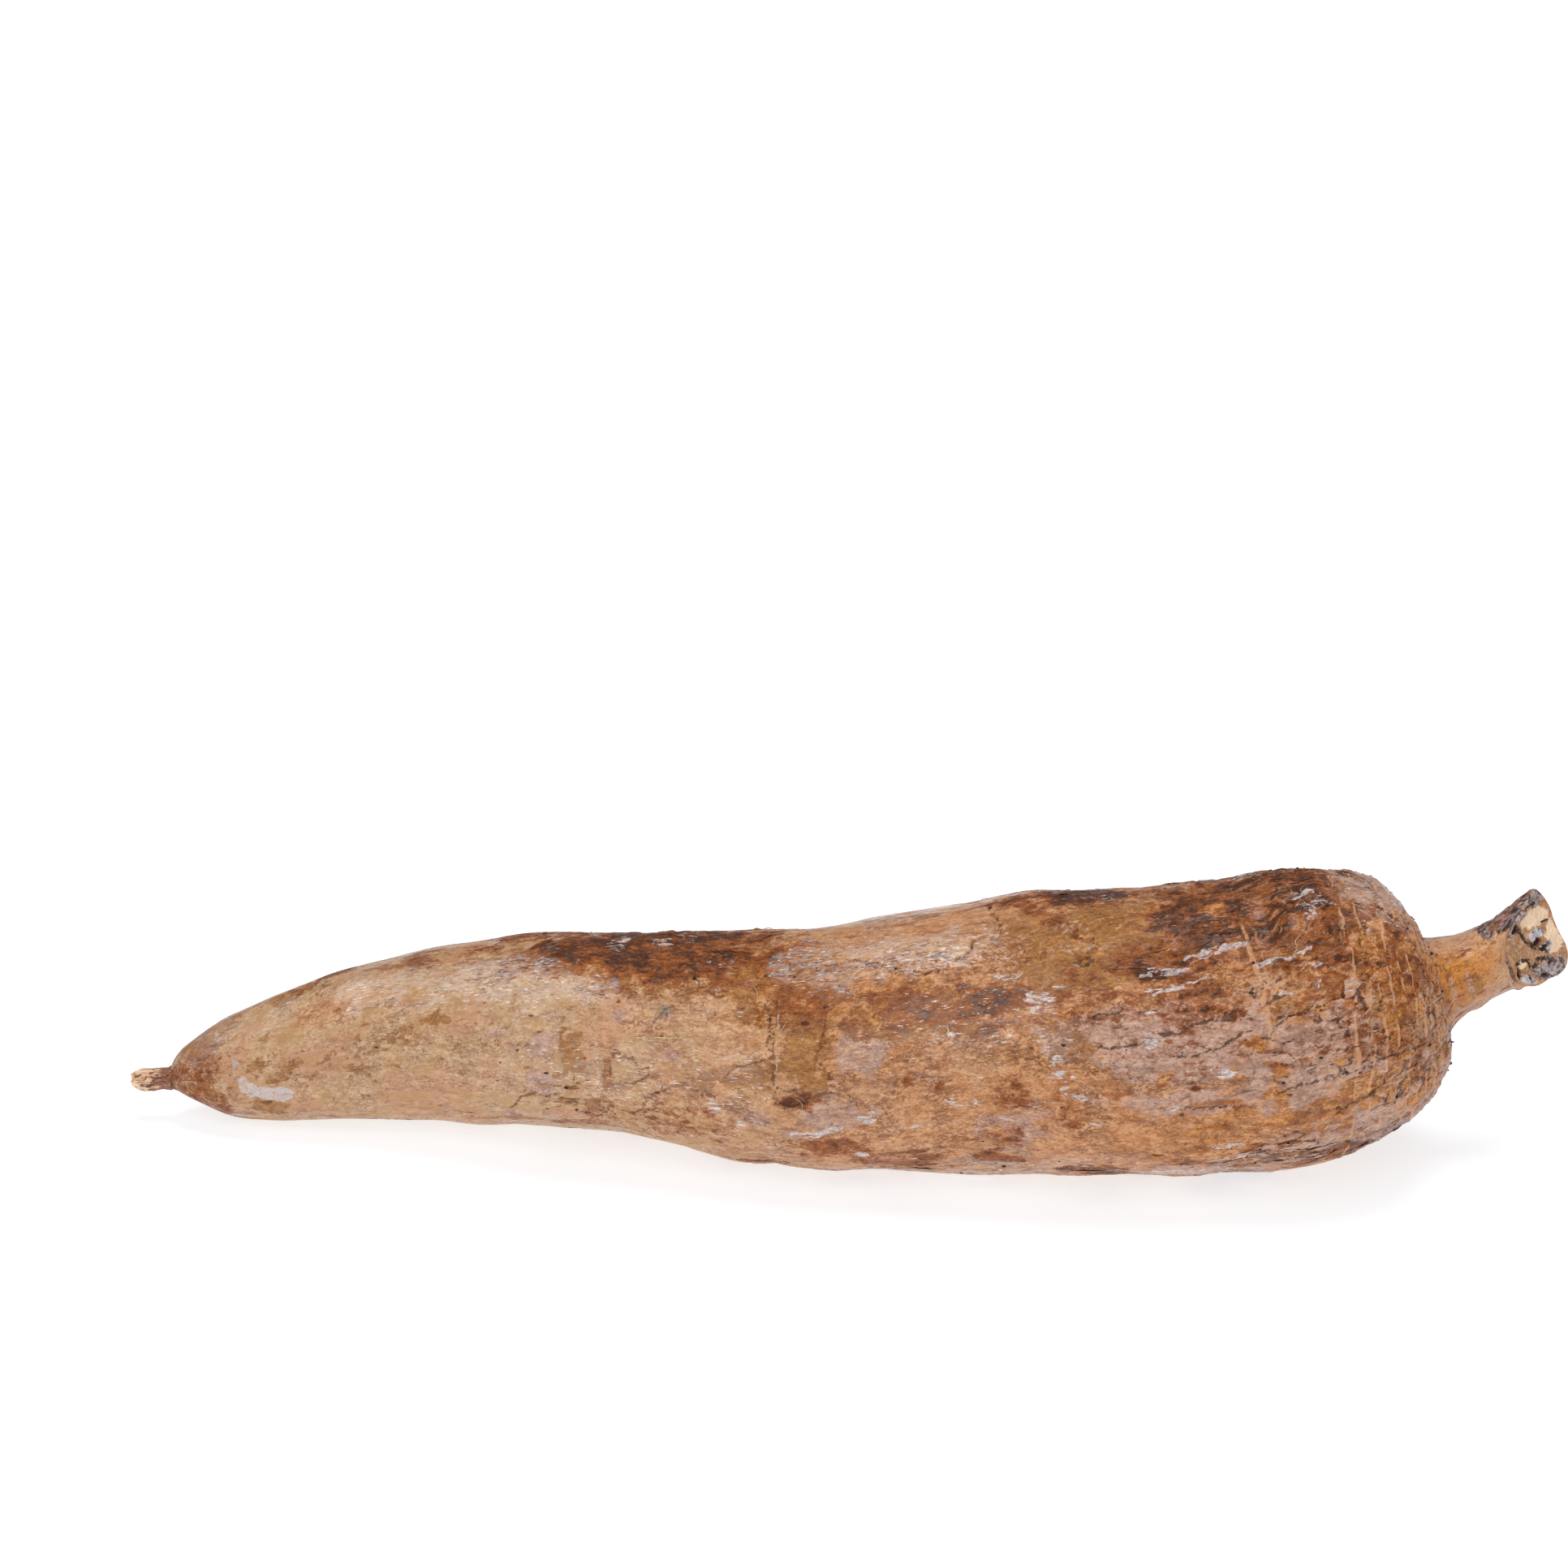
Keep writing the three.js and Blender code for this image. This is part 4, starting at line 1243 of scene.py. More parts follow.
@dataclass(frozen=True)
class BarkFinish:
    """Waxed cassava bark: tan to golden skin, mauve and ochre patches, dark cork partly painting a shadow,
    chalky flecks partly painted glints, painted highlights and sheen, and painted shade in its hollows.
    """

    name: str = "bark"
    pale: Tones = (Tone(218, 182, 146), Tone(178, 136, 96))
    rosy: Tone = Tone(200, 148, 114)
    sandy: Tone = Tone(180, 138, 88)
    warm: Tones = (Tone(222, 166, 122), Tone(172, 112, 68))
    gold: Tones = (Tone(214, 148, 82), Tone(160, 96, 40))
    mauve: Tones = (Tone(212, 174, 154), Tone(156, 116, 98))
    ochre: Tones = (Tone(180, 124, 60), Tone(134, 82, 34))
    rust: Tones = (Tone(166, 92, 38), Tone(116, 60, 22))
    umber: Tones = (Tone(100, 52, 23), Tone(60, 32, 15))
    crack: Tone = Tone(74, 42, 25)
    seam: Tone = Tone(122, 72, 38)
    dim: Tone = Tone(212, 178, 144)
    vein: Tone = Tone(116, 68, 32)
    chalk_and_glint: Tones = (Tone(236, 230, 230), Tone(190, 176, 174))
    wax: Tones = (Tone(218, 204, 202), Tone(190, 168, 160))
    neck: Tones = (Tone(220, 150, 70), Tone(196, 118, 44))
    sapwood: Tones = (Tone(216, 172, 128), Tone(196, 142, 96))
    crust: Tones = (Tone(168, 148, 146), Tone(56, 42, 40))
    glint: Tone = Tone(244, 230, 220)

    def build(self) -> bpy.types.Material:
        """Make the material.

        Returns:
            The bark's material.
        """
        s = Shader(self.name)
        broad = s.noise("spot", 20.0, 11.0, 3.0, 0.5, 0.6)
        wide = s.noise("spot", 8.0, 5.0, 5.0, 0.62)
        mottle = s.noise("spot", 2.6, 1.8, 4.0, 0.62, 0.8)
        grit = s.noise("spot", 0.7, 0.5, 3.0, 0.62)
        fibre = s.noise("streak", 3.6, 1.0, 5.0, 0.66, 1.4)
        winding = s.noise("spot", 3.6, 1.7, 3.0, 0.55, 1.2)
        rough, neck, scale = s.cover("rough"), s.cover("neck"), s.cover("scale")
        fine = (0.40 * mottle + 0.30 * fibre + 0.30 * grit).graded(0.38, 0.62)

        def ragged(cover: Value, low: float, high: float) -> Value:
            """Break a cover's edge up with noise of three sizes."""
            return (cover + 0.9 * (wide - 0.5) + 0.7 * (mottle - 0.5) + 0.5 * (grit - 0.5)).graded(low, high)

        def toned(tones: Tones) -> Value:
            """Vary between two tones."""
            return s.toned(fine, tones)

        pale = s.mix(broad.graded(0.50, 0.64) * 0.7, toned(self.pale), self.rosy)
        pale = s.mix(wide.graded(0.50, 0.34) * 0.6, pale, self.sandy)
        tint = s.mix(ragged(s.cover("warm"), 0.10, 0.90), pale, toned(self.warm))
        tint = s.mix(ragged(s.cover("gold") + 0.8 * (scale - 0.5), 0.15, 0.85), tint, toned(self.gold))
        dim = s.noise("spot", 5.5, 3.6, 5.0, 0.62, 0.7).graded(0.48, 0.62)
        tint = s.mix(dim * (0.12 + 0.9 * rough), tint, self.dim, "MULTIPLY")
        soft = (wide * 0.7 + mottle * 0.3).graded(0.36, 0.64)
        sapwood, ripe = (s.toned(soft, tones) for tones in (self.sapwood, self.neck))
        orange = (s.cover("gold") + 0.9 * (broad - 0.5) + 0.5 * (wide - 0.5)).graded(0.05, 0.85)
        tint = s.mix(neck, tint, s.mix(orange, sapwood, ripe))
        vein = (1 - (winding - 0.5) * (winding - 0.5) * 520.0).clamped()
        vein = vein * wide.graded(0.43, 0.55) * (1 - 0.8 * neck)
        creased = s.cover("crease") * grit.graded(0.45, 0.6) * (0.25 + rough)
        tint = s.mix(vein.larger(creased) * (0.34 + 0.5 * rough.graded(0.1, 0.5)), tint, self.vein)
        mauve = ragged(s.cover("mauve") + 0.9 * (0.5 - scale), 0.30, 0.75) * (1 - neck)
        mauve = mauve.larger((s.cover("mauve") + 0.5 * (wide - 0.5)).graded(0.05, 1.0) * neck * 0.8)
        tint = s.mix(mauve * 0.9, tint, toned(self.mauve))
        ochre = ragged(s.cover("ochre"), 0.30, 0.80)
        tint = s.mix(ochre * 0.85, tint, toned(self.ochre))
        tint = s.mix((1 - (ochre - 0.5) * (ochre - 0.5) * 30.0).clamped() * 0.45, tint, self.vein)
        dots = s.noise("spot", 1.3, 0.8, 2.0, 0.6, 0.5).graded(0.62, 0.67)
        tint = s.mix(dots * wide.graded(0.42, 0.58) * 0.8, tint, self.rust[1])
        umber = s.cover("umber") + 0.4 * (scale - 0.5)
        rusty = ragged(umber, 0.22, 0.66)
        tint = s.mix(rusty * 0.95, tint, toned(self.rust))
        tint = s.mix(ragged(umber, 0.60, 1.0), tint, toned(self.umber))
        # Painted shade: darker in the relief's hollows, more so where the bark is rough.
        tint = s.mix((0.45 - s.cover("rise")).clamped() * (0.3 + 0.8 * rough), tint, self.umber[0])
        ridge = (s.cover("ring") + 0.6 * (mottle - 0.5) + 0.4 * (grit - 0.5)).graded(0.30, 0.70)
        tint = s.mix(ridge * 0.65, tint, self.warm[0])
        line = (s.cover("line") + 0.30 * (grit - 0.5) + 0.25 * (mottle - 0.5)).graded(0.76, 0.92)
        tint = s.mix(line * 0.82, tint, s.mix(rough.graded(0.25, 0.75), self.seam, self.crack))
        crust = ragged(s.cover("crust"), 0.30, 0.60)
        scab = s.toned((0.6 * mottle + 0.4 * fibre).graded(0.42, 0.54), self.crust)
        tint = s.mix(crust, tint, s.mix(winding.graded(0.50, 0.58) * 0.6, scab, self.rust[0]))
        wax = s.cover("wax") + 0.7 * (wide - 0.5) + 0.3 * (mottle - 0.5) + 0.2 * (grit - 0.5)
        tint = s.mix(wax.graded(0.35, 0.60) * mottle.graded(0.28, 0.5), tint, toned(self.wax))
        # Pale flecks: chalky wax flecks, partly painted glints, the pale lips of the ring scars, and painted
        # highlights along lifted edges, the collar's torn edge, the flakes' edges and the cork's ledges.
        flecks = s.noise("streak", 2.8, 0.8, 4.0, 0.62, 0.6)
        chalk_and_glints = s.cover("chalk_and_glint")
        white = (0.62 * chalk_and_glints + 2.0 * (flecks - 0.5) + 0.8 * (grit - 0.5)).graded(0.54, 0.68)
        white = white * chalk_and_glints.graded(0.1, 0.4)
        lip = (s.cover("lip") + 1.3 * (mottle - 0.5) + 0.6 * (fibre - 0.5)).graded(0.45, 0.85)
        white = white.larger(lip * 0.75).larger(s.cover("ledge") * 0.35 * flecks.graded(0.54, 0.62))
        tint = s.mix(white * 0.85, tint, s.toned(grit.graded(0.4, 0.62), self.chalk_and_glint))
        # Painted highlights: short glinting dashes, and a streaky painted sheen, over the glint patches.
        dashes = s.noise("streak", 2.0, 0.45, 2.0, 0.6, 0.4)
        glossy = s.cover("glint").graded(0.05, 0.4)
        glint = (dashes + 0.08 * s.cover("glint")).graded(0.66, 0.73) * glossy
        painted_sheen = ragged(s.cover("glint"), 0.3, 1.0) * fibre.graded(0.40, 0.60)
        tint = s.mix((glint * 0.8).larger(painted_sheen * 0.36), tint, self.glint)
        relief = fibre * 0.45 + grit * 0.3 + mottle * 0.6 + flecks * 0.3 - 0.6 * line - 0.25 * vein
        gloss = 0.44 + 0.20 * white + 0.14 * line + 0.40 * (mottle - 0.5) - 0.2 * glint
        coat = 0.10 + 0.36 * wide.graded(0.42, 0.62) * (1 - rusty) + 0.25 * glossy - 0.3 * white
        return s.finish(
            base_color=tint,
            roughness=gloss.clamped(),
            specular_ior_level=0.2,
            coat_weight=coat.clamped(),
            coat_roughness=0.16,
            normal=s.bump(relief, 0.00036, 0.85),
        )


@dataclass(frozen=True)
class CutWoodFinish:
    """The cut neck's wood: pale and fibrous, brown at its middle, with dark rot and grey mould."""

    name: str = "cut_wood"
    wood: Tones = (Tone(252, 228, 198), Tone(232, 190, 152))
    brown: Tones = (Tone(200, 148, 100), Tone(128, 80, 48))
    rot: Tones = (Tone(92, 66, 52), Tone(30, 22, 19))
    mould: Tones = (Tone(206, 198, 200), Tone(112, 98, 98))
    rim: Tones = (Tone(176, 154, 148), Tone(70, 54, 52))
    skin: Tones = (Tone(196, 148, 106), Tone(162, 112, 74))

    def build(self) -> bpy.types.Material:
        """Make the material.

        Returns:
            The cut wood's material.
        """
        s = Shader(self.name)
        fibre = s.noise("spot", 0.35, 0.9, 4.0, 0.65, 0.5)
        blotch = s.noise("spot", 2.0, 2.0, 4.0, 0.6)
        grit = s.noise("spot", 0.3, 0.3, 3.0, 0.6)
        fine = (fibre * 0.6 + grit * 0.4).graded(0.36, 0.64)
        tint = s.toned(fine, self.wood)
        brown = s.toned(fine, self.brown)
        tint = s.mix((s.cover("brown") + 0.7 * (blotch - 0.5)).graded(0.3, 0.7), tint, brown)
        stain = s.noise("spot", 1.6, 1.6, 4.0, 0.62, 0.8)
        tint = s.mix((s.cover("rot") + 0.5 * (stain - 0.5)).graded(0.05, 0.5) * 0.7, tint, self.brown[1])
        skin = s.toned(blotch.graded(0.4, 0.6), self.skin)
        tint = s.mix((s.cover("skin") + 0.8 * (blotch - 0.5)).graded(0.25, 0.75), tint, skin)
        patchy = stain.graded(0.46, 0.60)
        rim = s.toned(patchy, self.rim)
        tint = s.mix((s.cover("rim") + 0.9 * (blotch - 0.5)).graded(0.30, 0.65), tint, rim)
        mould = s.toned(patchy, self.mould)
        tint = s.mix((s.cover("mould") + 0.8 * (stain - 0.5)).graded(0.35, 0.65), tint, mould)
        rot = s.toned(fine, self.rot)
        tint = s.mix((s.cover("rot") + 1.0 * (stain - 0.5)).graded(0.32, 0.58), tint, rot)
        return s.finish(
            base_color=tint,
            roughness=(0.62 + 0.3 * (grit - 0.5)).clamped(),
            normal=s.bump(fibre * 0.7 + grit * 0.5, 0.00025, 0.7),
        )


@dataclass(frozen=True)
class TailWoodFinish:
    """The broken tail: pale cream fibres, browned in its cracks and reddish brown at its root."""

    name: str = "tail_wood"
    wood: Tones = (Tone(238, 208, 172), Tone(208, 160, 122))
    brown: Tones = (Tone(168, 106, 72), Tone(98, 54, 38))

    def build(self) -> bpy.types.Material:
        """Make the material.

        Returns:
            The tail wood's material.
        """
        s = Shader(self.name)
        fibre = s.noise("streak", 3.0, 3.2, 5.0, 0.65, 0.3)
        blotch = s.noise("spot", 1.6, 1.1, 4.0, 0.6)
        grit = s.noise("spot", 0.25, 0.2, 3.0, 0.6)
        tint = s.toned(fibre.graded(0.38, 0.62), self.wood)
        brown = s.toned(grit.graded(0.38, 0.62), self.brown)
        share = (s.cover("brown") + 0.9 * (blotch - 0.5) + 0.9 * (fibre - 0.5)).graded(0.25, 0.85)
        tint = s.mix(share, tint, brown)
        tint = s.mix((s.cover("crack") + 0.3 * (grit - 0.5)).graded(0.3, 0.7), tint, self.brown[1])
        return s.finish(
            base_color=tint,
            roughness=(0.52 + 0.3 * (grit - 0.5)).clamped(),
            coat_weight=0.2,
            coat_roughness=0.3,
            normal=s.bump(fibre * 0.7 + grit * 0.4, 0.0002, 0.6),
        )


@dataclass(frozen=True)
class FibreFinish:
    """Dry root hairs and bits of straw."""

    name: str = "dry_fibre"
    straw: Tones = (Tone(226, 196, 148), Tone(176, 138, 92))
    hair: Tones = (Tone(150, 140, 138), Tone(88, 76, 72))

    def build(self) -> bpy.types.Material:
        """Make the material.

        Returns:
            The dry fibre's material.
        """
        s = Shader(self.name)
        fine = s.noise("spot", 1.2, 0.3, 3.0, 0.6)
        straw = s.toned(fine.graded(0.4, 0.6), self.straw)
        hair = s.toned(fine.graded(0.4, 0.6), self.hair)
        tint = s.mix(s.cover("shade"), straw, hair)
        gloss = (0.5 + 0.3 * (fine - 0.5)).clamped()
        return s.finish(base_color=tint, roughness=gloss, normal=s.bump(fine, 0.0001, 0.5))


@dataclass(frozen=True)
class SoilFinish:
    """Dry soil left in the furrows."""

    name: str = "dry_soil"
    crumb: Tones = (Tone(112, 82, 58), Tone(46, 32, 24))

    def build(self) -> bpy.types.Material:
        """Make the material.

        Returns:
            The dry soil's material.
        """
        s = Shader(self.name)
        grit = s.noise("spot", 0.2, 0.2, 3.0, 0.65)
        tint = s.toned((grit + s.cover("shade") - 0.5).graded(0.3, 0.7), self.crumb)
        gloss = (0.85 + 0.2 * (grit - 0.5)).clamped()
        return s.finish(base_color=tint, roughness=gloss, normal=s.bump(grit, 0.0001, 0.8))


@dataclass(frozen=True)
class FloorFinish:
    """A plain pale floor."""

    name: str = "floor"
    paint: Tone = Tone(172, 176, 182)
    shine: Tone = Tone(255, 255, 255)
    glow: float = 0.70

    def build(self) -> bpy.types.Material:
        """Make the material.

        Returns:
            The floor's material.
        """
        paint = {"base_color": self.paint, "roughness": 0.9}
        return Shader(self.name).finish(**paint, emission_color=self.shine, emission_strength=self.glow)


# ----------------------------------------
# Meshes


def mesh_piece(
    name: str, points: Array, faces: list[Array], covers: dict[str, Array], normals: Array | None = None
) -> Piece:
    """Make a piece from points in millimetres, none of them below the floor.

    Args:
        name: The piece's name.
        points: Rows of three, in mm.
        faces: Tables of point numbers, one table for each number of corners.
        covers: Numbers, or rows of three, that each point carries for the material, which also finds
            its place in "spot" where that isn't given.
        normals: Which way each point faces, where that isn't left to Blender.

    Returns:
        The piece, riding on the root.
    """
    points = np.stack([points[:, 0], points[:, 1], np.maximum(points[:, 2], 0.0)], axis=1)
    covers = {"spot": points, **covers}
    mesh = bpy.data.meshes.new(name)
    corners = np.concatenate([table.ravel() for table in faces]).astype(np.int32)
    sizes = np.concatenate([np.full(len(table), table.shape[1]) for table in faces])
    mesh.vertices.add(len(points))
    mesh.vertices.foreach_set("co", (points * MM).astype(np.float32).ravel())
    mesh.loops.add(len(corners))
    mesh.loops.foreach_set("vertex_index", corners)
    mesh.polygons.add(len(sizes))
    mesh.polygons.foreach_set("loop_start", (np.cumsum(sizes) - sizes).astype(np.int32))
    mesh.update(calc_edges=True)
    if mesh.validate():
        log.warning("%s: faces had to be mended", name)
    mesh.polygons.foreach_set("use_smooth", np.ones(len(mesh.polygons), bool))
    for cover, values in covers.items():
        kind = "FLOAT_VECTOR" if values.ndim == 2 else "FLOAT"
        made = mesh.attributes.new(cover, kind, "POINT")
        made.data.foreach_set("vector" if values.ndim == 2 else "value", values.astype(np.float32).ravel())
    if normals is not None:
        mesh.normals_split_custom_set_from_vertices(normals.tolist())
    piece = bpy.data.objects.new(name, mesh)
    bpy.context.scene.collection.objects.link(piece)
    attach(piece, "root")
    log.info("%s: %d faces", name, len(mesh.polygons))
    return piece


def dress(piece: Piece, finish: bpy.types.Material) -> None:
    """Give a piece its finish, and hide the imported root's own mesh.

    Args:
        piece: The piece.
        finish: Its material.
    """
    piece.data.materials.append(finish)
    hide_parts("cassava_root")


def grid_faces(rows: int, around: int) -> Array:
    """Join a grid's rows with four-sided faces, facing out.

    Args:
        rows: How many rows.
        around: How many points a row has; each row is closed.

    Returns:
        The faces.
    """
    row = np.arange(rows - 1)[:, None] * around
    here = np.arange(around)[None]
    after = (here + 1) % around
    corners = [row + here, row + around + here, row + around + after, row + after]
    return np.stack(corners, axis=-1).reshape(-1, 4)


def fan_faces(first: int, around: int, pole: int, outwards: bool) -> Array:
    """Close a row with triangles to a pole.

    Args:
        first: The number of the row's first point.
        around: How many points the row has.
        pole: The pole's number.
        outwards: Whether the pole comes before the row, as at the tail.

    Returns:
        The faces.
    """
    here = np.arange(around)
    after = (here + 1) % around
    ends = (here, after) if outwards else (after, here)
    return np.stack([np.full(around, pole), first + ends[0], first + ends[1]], axis=1)


@dataclass
class Bark:
    """The bark, from the tapered end over the belly and the shoulder to the end of the neck."""

    stack: RingStack
    around: int = 480
    starts_at: float = -168.1
    lip: Line = ((0.55, 2.6), (0.66, 1.2), (0.78, 0.35), (0.9, -0.05))
    belly_at: float = -18.4
    shoulder_at: float = 72.0
    neck_at: float = 145.4
    rows: tuple[int, int, int, int] = (200, 200, 199, 84)
    grid: SkinGrid = field(init=False)
    growth: BarkGrowth = field(init=False)
    fields: BarkFields = field(init=False)
    breaks: list[int] = field(init=False)
    finish: bpy.types.Material = field(init=False)
    points: Array = field(init=False)
    normals: Array = field(init=False)

    def lay_out(self) -> None:
        """Draw the fine grid over the whole bark and grow the bark's fields on it."""
        rings = self.stack.skin()
        lengths = RingStack.lengths(rings)
        middle = rings.mean(axis=1)[:, 0]
        ends = (self.starts_at, self.belly_at, self.shoulder_at, self.neck_at)
        limits = [float(np.interp(x, middle, lengths)) for x in ends] + [float(lengths[-1])]
        places = [np.array([limits[0]])]
        for count, start, end in zip(self.rows, limits, limits[1:]):
            places.append(np.linspace(start, end, count + 1)[1:])
        self.breaks = [0, *np.cumsum(self.rows).tolist()]
        self.grid = RingStack.fine(rings, np.concatenate(places), self.around)
        self.growth = BarkGrowth(self.grid)
        self.fields = self.growth.fields()

    def surface(self) -> tuple[Array, Array]:
        """Raise the relief, keep it above the floor and work out the normals.

        Returns:
            The grid's points and normals.
        """
        height = self.fields.height.reshape(self.grid.rows, self.around, 1)
        settled = smooth(self.grid.points[:, :, 2:], 0.0, 2.5)
        points = self.grid.points + self.grid.normals * height * at_least(0.25, settled)
        points[:, :, 2] = np.maximum(points[:, :, 2], 0.0)
        return points, surface_normals(points)

    def build(self) -> list[Piece]:
        """Make the pieces of bark.

        Returns:
            The taper, the belly, the shoulder and the neck.
        """
        self.lay_out()
        points, normals = self.surface()
        self.points, self.normals = points, normals
        pieces = []
        names = ("bark_taper", "bark_belly", "bark_shoulder", "bark_neck")
        for name, start, end in zip(names, self.breaks, self.breaks[1:]):
            every = 2 if name == "bark_neck" else 1
            part = self.grid.part(start, end, every)
            own = self.fields.part(self.around, start, end, every)
            here, outwards = points[start : end + 1, ::every], normals[start : end + 1, ::every]
            if name == "bark_shoulder":
                here, outwards = self._halved(here), self._halved(outwards)
            covers = dict(own.covers)
            covers["streak"] = part.straightened(self.growth.streak_radius)
            covers["spot"] = part.straightened(part.radius)
            if name == "bark_taper":
                here, outwards, covers = self._lipped(here, covers)
            faces = grid_faces(len(here), part.around)
            pieces.append(mesh_piece(name, here.reshape(-1, 3), [faces], covers, outwards.reshape(-1, 3)))
        return pieces

    def _lipped(self, here: Array, covers: dict[str, Array]) -> tuple[Array, Array, dict[str, Array]]:
        """Roll the bark's first edge in round the tail.

        Args:
            here: The points of the taper.
            covers: What they carry.

        Returns:
            The points, their normals and what they carry, with the rows of the lip before them.
        """
        first = here[0]
        middle = first.mean(axis=0)
        rows = []
        for share, back in self.lip:
            rows.append(middle + (first - middle) * share + np.array([back, 0.0, 0.0]))
        whole = np.concatenate([np.array(rows), here])
        grown = {
            name: np.concatenate([np.tile(values[: self.around].T, len(rows)).T, values])
            for name, values in covers.items()
        }
        return whole, surface_normals(whole), grown

    @staticmethod
    def _halved(rows: Array) -> Array:
        """Put every second point of the last row between its neighbours, to meet a row of half as many.

        Args:
            rows: The rows of points.

        Returns:
            The same rows with the last one changed.
        """
        rows = rows.copy()
        last = rows[-1]
        last[1::2] = (last[0::2] + np.roll(last[0::2], -1, axis=0)) / 2
        return rows

    def dress(self, pieces: list[Piece]) -> None:
        """Give the bark its finish.

        Args:
            pieces: Its pieces.
        """
        self.finish = BarkFinish().build()
        for piece in pieces:
            dress(piece, self.finish)


class Part:
    """A piece of the scene with a finish of its own."""

    FINISH: type

    def dress(self, piece: Piece) -> None:
        """Give the piece its finish."""
        dress(piece, self.FINISH().build())


@dataclass
class TailStub(Part):
    """The thin tail, broken off: wood fibres with rags of bark, set into the tapered end."""

    FINISH = TailWoodFinish
    stack: RingStack
    seed: int = 9310
    around: int = 144
    face_rows: int = 15
    skin_rows: int = 84
    hidden_from: float = -169.0
    hidden_to: float = -165.0
    hidden_radius: float = 2.2
    streak_radius: float = 2.6
    groove: float = 0.26
    splinter: float = 0.34
    bark_from: float = -175.6
    bark_whole: float = -170.6
    splinters_from: float = -176.6

    def grid(self) -> SkinGrid:
        """Draw one grid over the broken face and the skin behind it.

        Returns:
            The grid, drawn in where the bark hides it.
        """
        face_rings, rings = self.stack.tail_face(), self.stack.skin()
        face_length = RingStack.lengths(face_rings)[-1]
        reach = float(np.interp(self.hidden_to, rings.mean(axis=1)[:, 0], RingStack.lengths(rings)))
        face = RingStack.fine(face_rings, np.linspace(0, face_length, self.face_rows + 1)[1:], self.around)
        skin = RingStack.fine(
            rings, np.linspace(0, reach, self.skin_rows + 1)[1:], self.around, start=float(face_length)
        )
        whole = SkinGrid(*(
            np.concatenate([getattr(face, name), getattr(skin, name)])
            for name in ("points", "normals", "station", "run", "ring_radius")
        ))
        hide = smooth(whole.station, self.hidden_from, self.hidden_from + 1.5)
        most = 1 - hide + hide * np.minimum(1.0, self.hidden_radius / whole.ring_radius)
        middle = whole.points.mean(axis=1, keepdims=True)
        whole.points = middle + (whole.points - middle) * most[:, None, None]
        return whole

    def build(self) -> Piece:
        """Make the stub.

        Returns:
            The piece.
        """
        grid = self.grid()
        spot = grid.straightened(grid.radius)
        streak = grid.straightened(self.streak_radius)
        x = grid.x
        on_face = np.repeat(np.arange(grid.rows) < self.face_rows, self.around)
        grooves = Grain(self.seed).layered(streak / np.array([7.0, 0.9, 0.9]), 3)
        splits = Grain(self.seed + 1).crease(streak / np.array([5.0, 1.1, 1.1]), 0.13, 2)
        lumps = Grain(self.seed + 2).layered(spot / 1.4, 3)
        splinters = Grain(self.seed + 3).layered(spot / np.array([9.0, 0.55, 0.55]), 3)
        height = np.where(on_face, 0.0, self.groove * grooves - 0.30 * splits + 0.10 * lumps)
        bark = smooth(x + 2.6 * (lumps + grooves), self.bark_from, self.bark_whole) * ~on_face
        height += 0.16 * bark
        points = grid.points + grid.normals * height.reshape(grid.rows, self.around, 1)
        out = smooth(x, self.splinters_from, self.splinters_from - 1.4) * self.splinter * (splinters - 0.15)
        points[:, :, 0] -= out.reshape(grid.rows, self.around)
        last = points[-1].mean(axis=0)
        pole = points[0].mean(axis=0)
        everything = np.concatenate([points.reshape(-1, 3), [pole, last]])
        count = grid.rows * self.around
        faces = [
            grid_faces(grid.rows, self.around),
            np.concatenate([
                fan_faces(0, self.around, count, True),
                fan_faces(count - self.around, self.around, count + 1, False),
            ]),
        ]

        def ended(values: Array) -> Array:
            """Give the two poles what their rows carry."""
            rows = values.reshape(grid.rows, self.around, *values.shape[1:])
            return np.concatenate([values, [rows[0].mean(axis=0), rows[-1].mean(axis=0)]])

        covers = {
            "brown": ended(np.clip(0.85 * bark + 0.5 * smooth(grooves + lumps, 0.05, 0.6), 0, 1)),
            "crack": ended(splits * ~on_face),
            "streak": ended(streak),
            "spot": ended(spot),
        }
        return mesh_piece("tail_stub", everything, faces, covers)


@dataclass(frozen=True)
class FacePatch:
    """A patch on the neck's cut face: its middle and half sizes in mm, to the right and upwards."""

    right: float
    up: float
    half_width: float
    half_height: float
    amount: float = 1.0
    depth: float = 0.0

    def cover(self, right: Array, up: Array, fray: Array) -> Array:
        """Give 1 inside the patch, falling to 0 past its frayed edge."""
        away = np.hypot((right - self.right) / self.half_width, (up - self.up) / self.half_height)
        return smooth(away + 0.45 * fray, 1.15, 0.75)


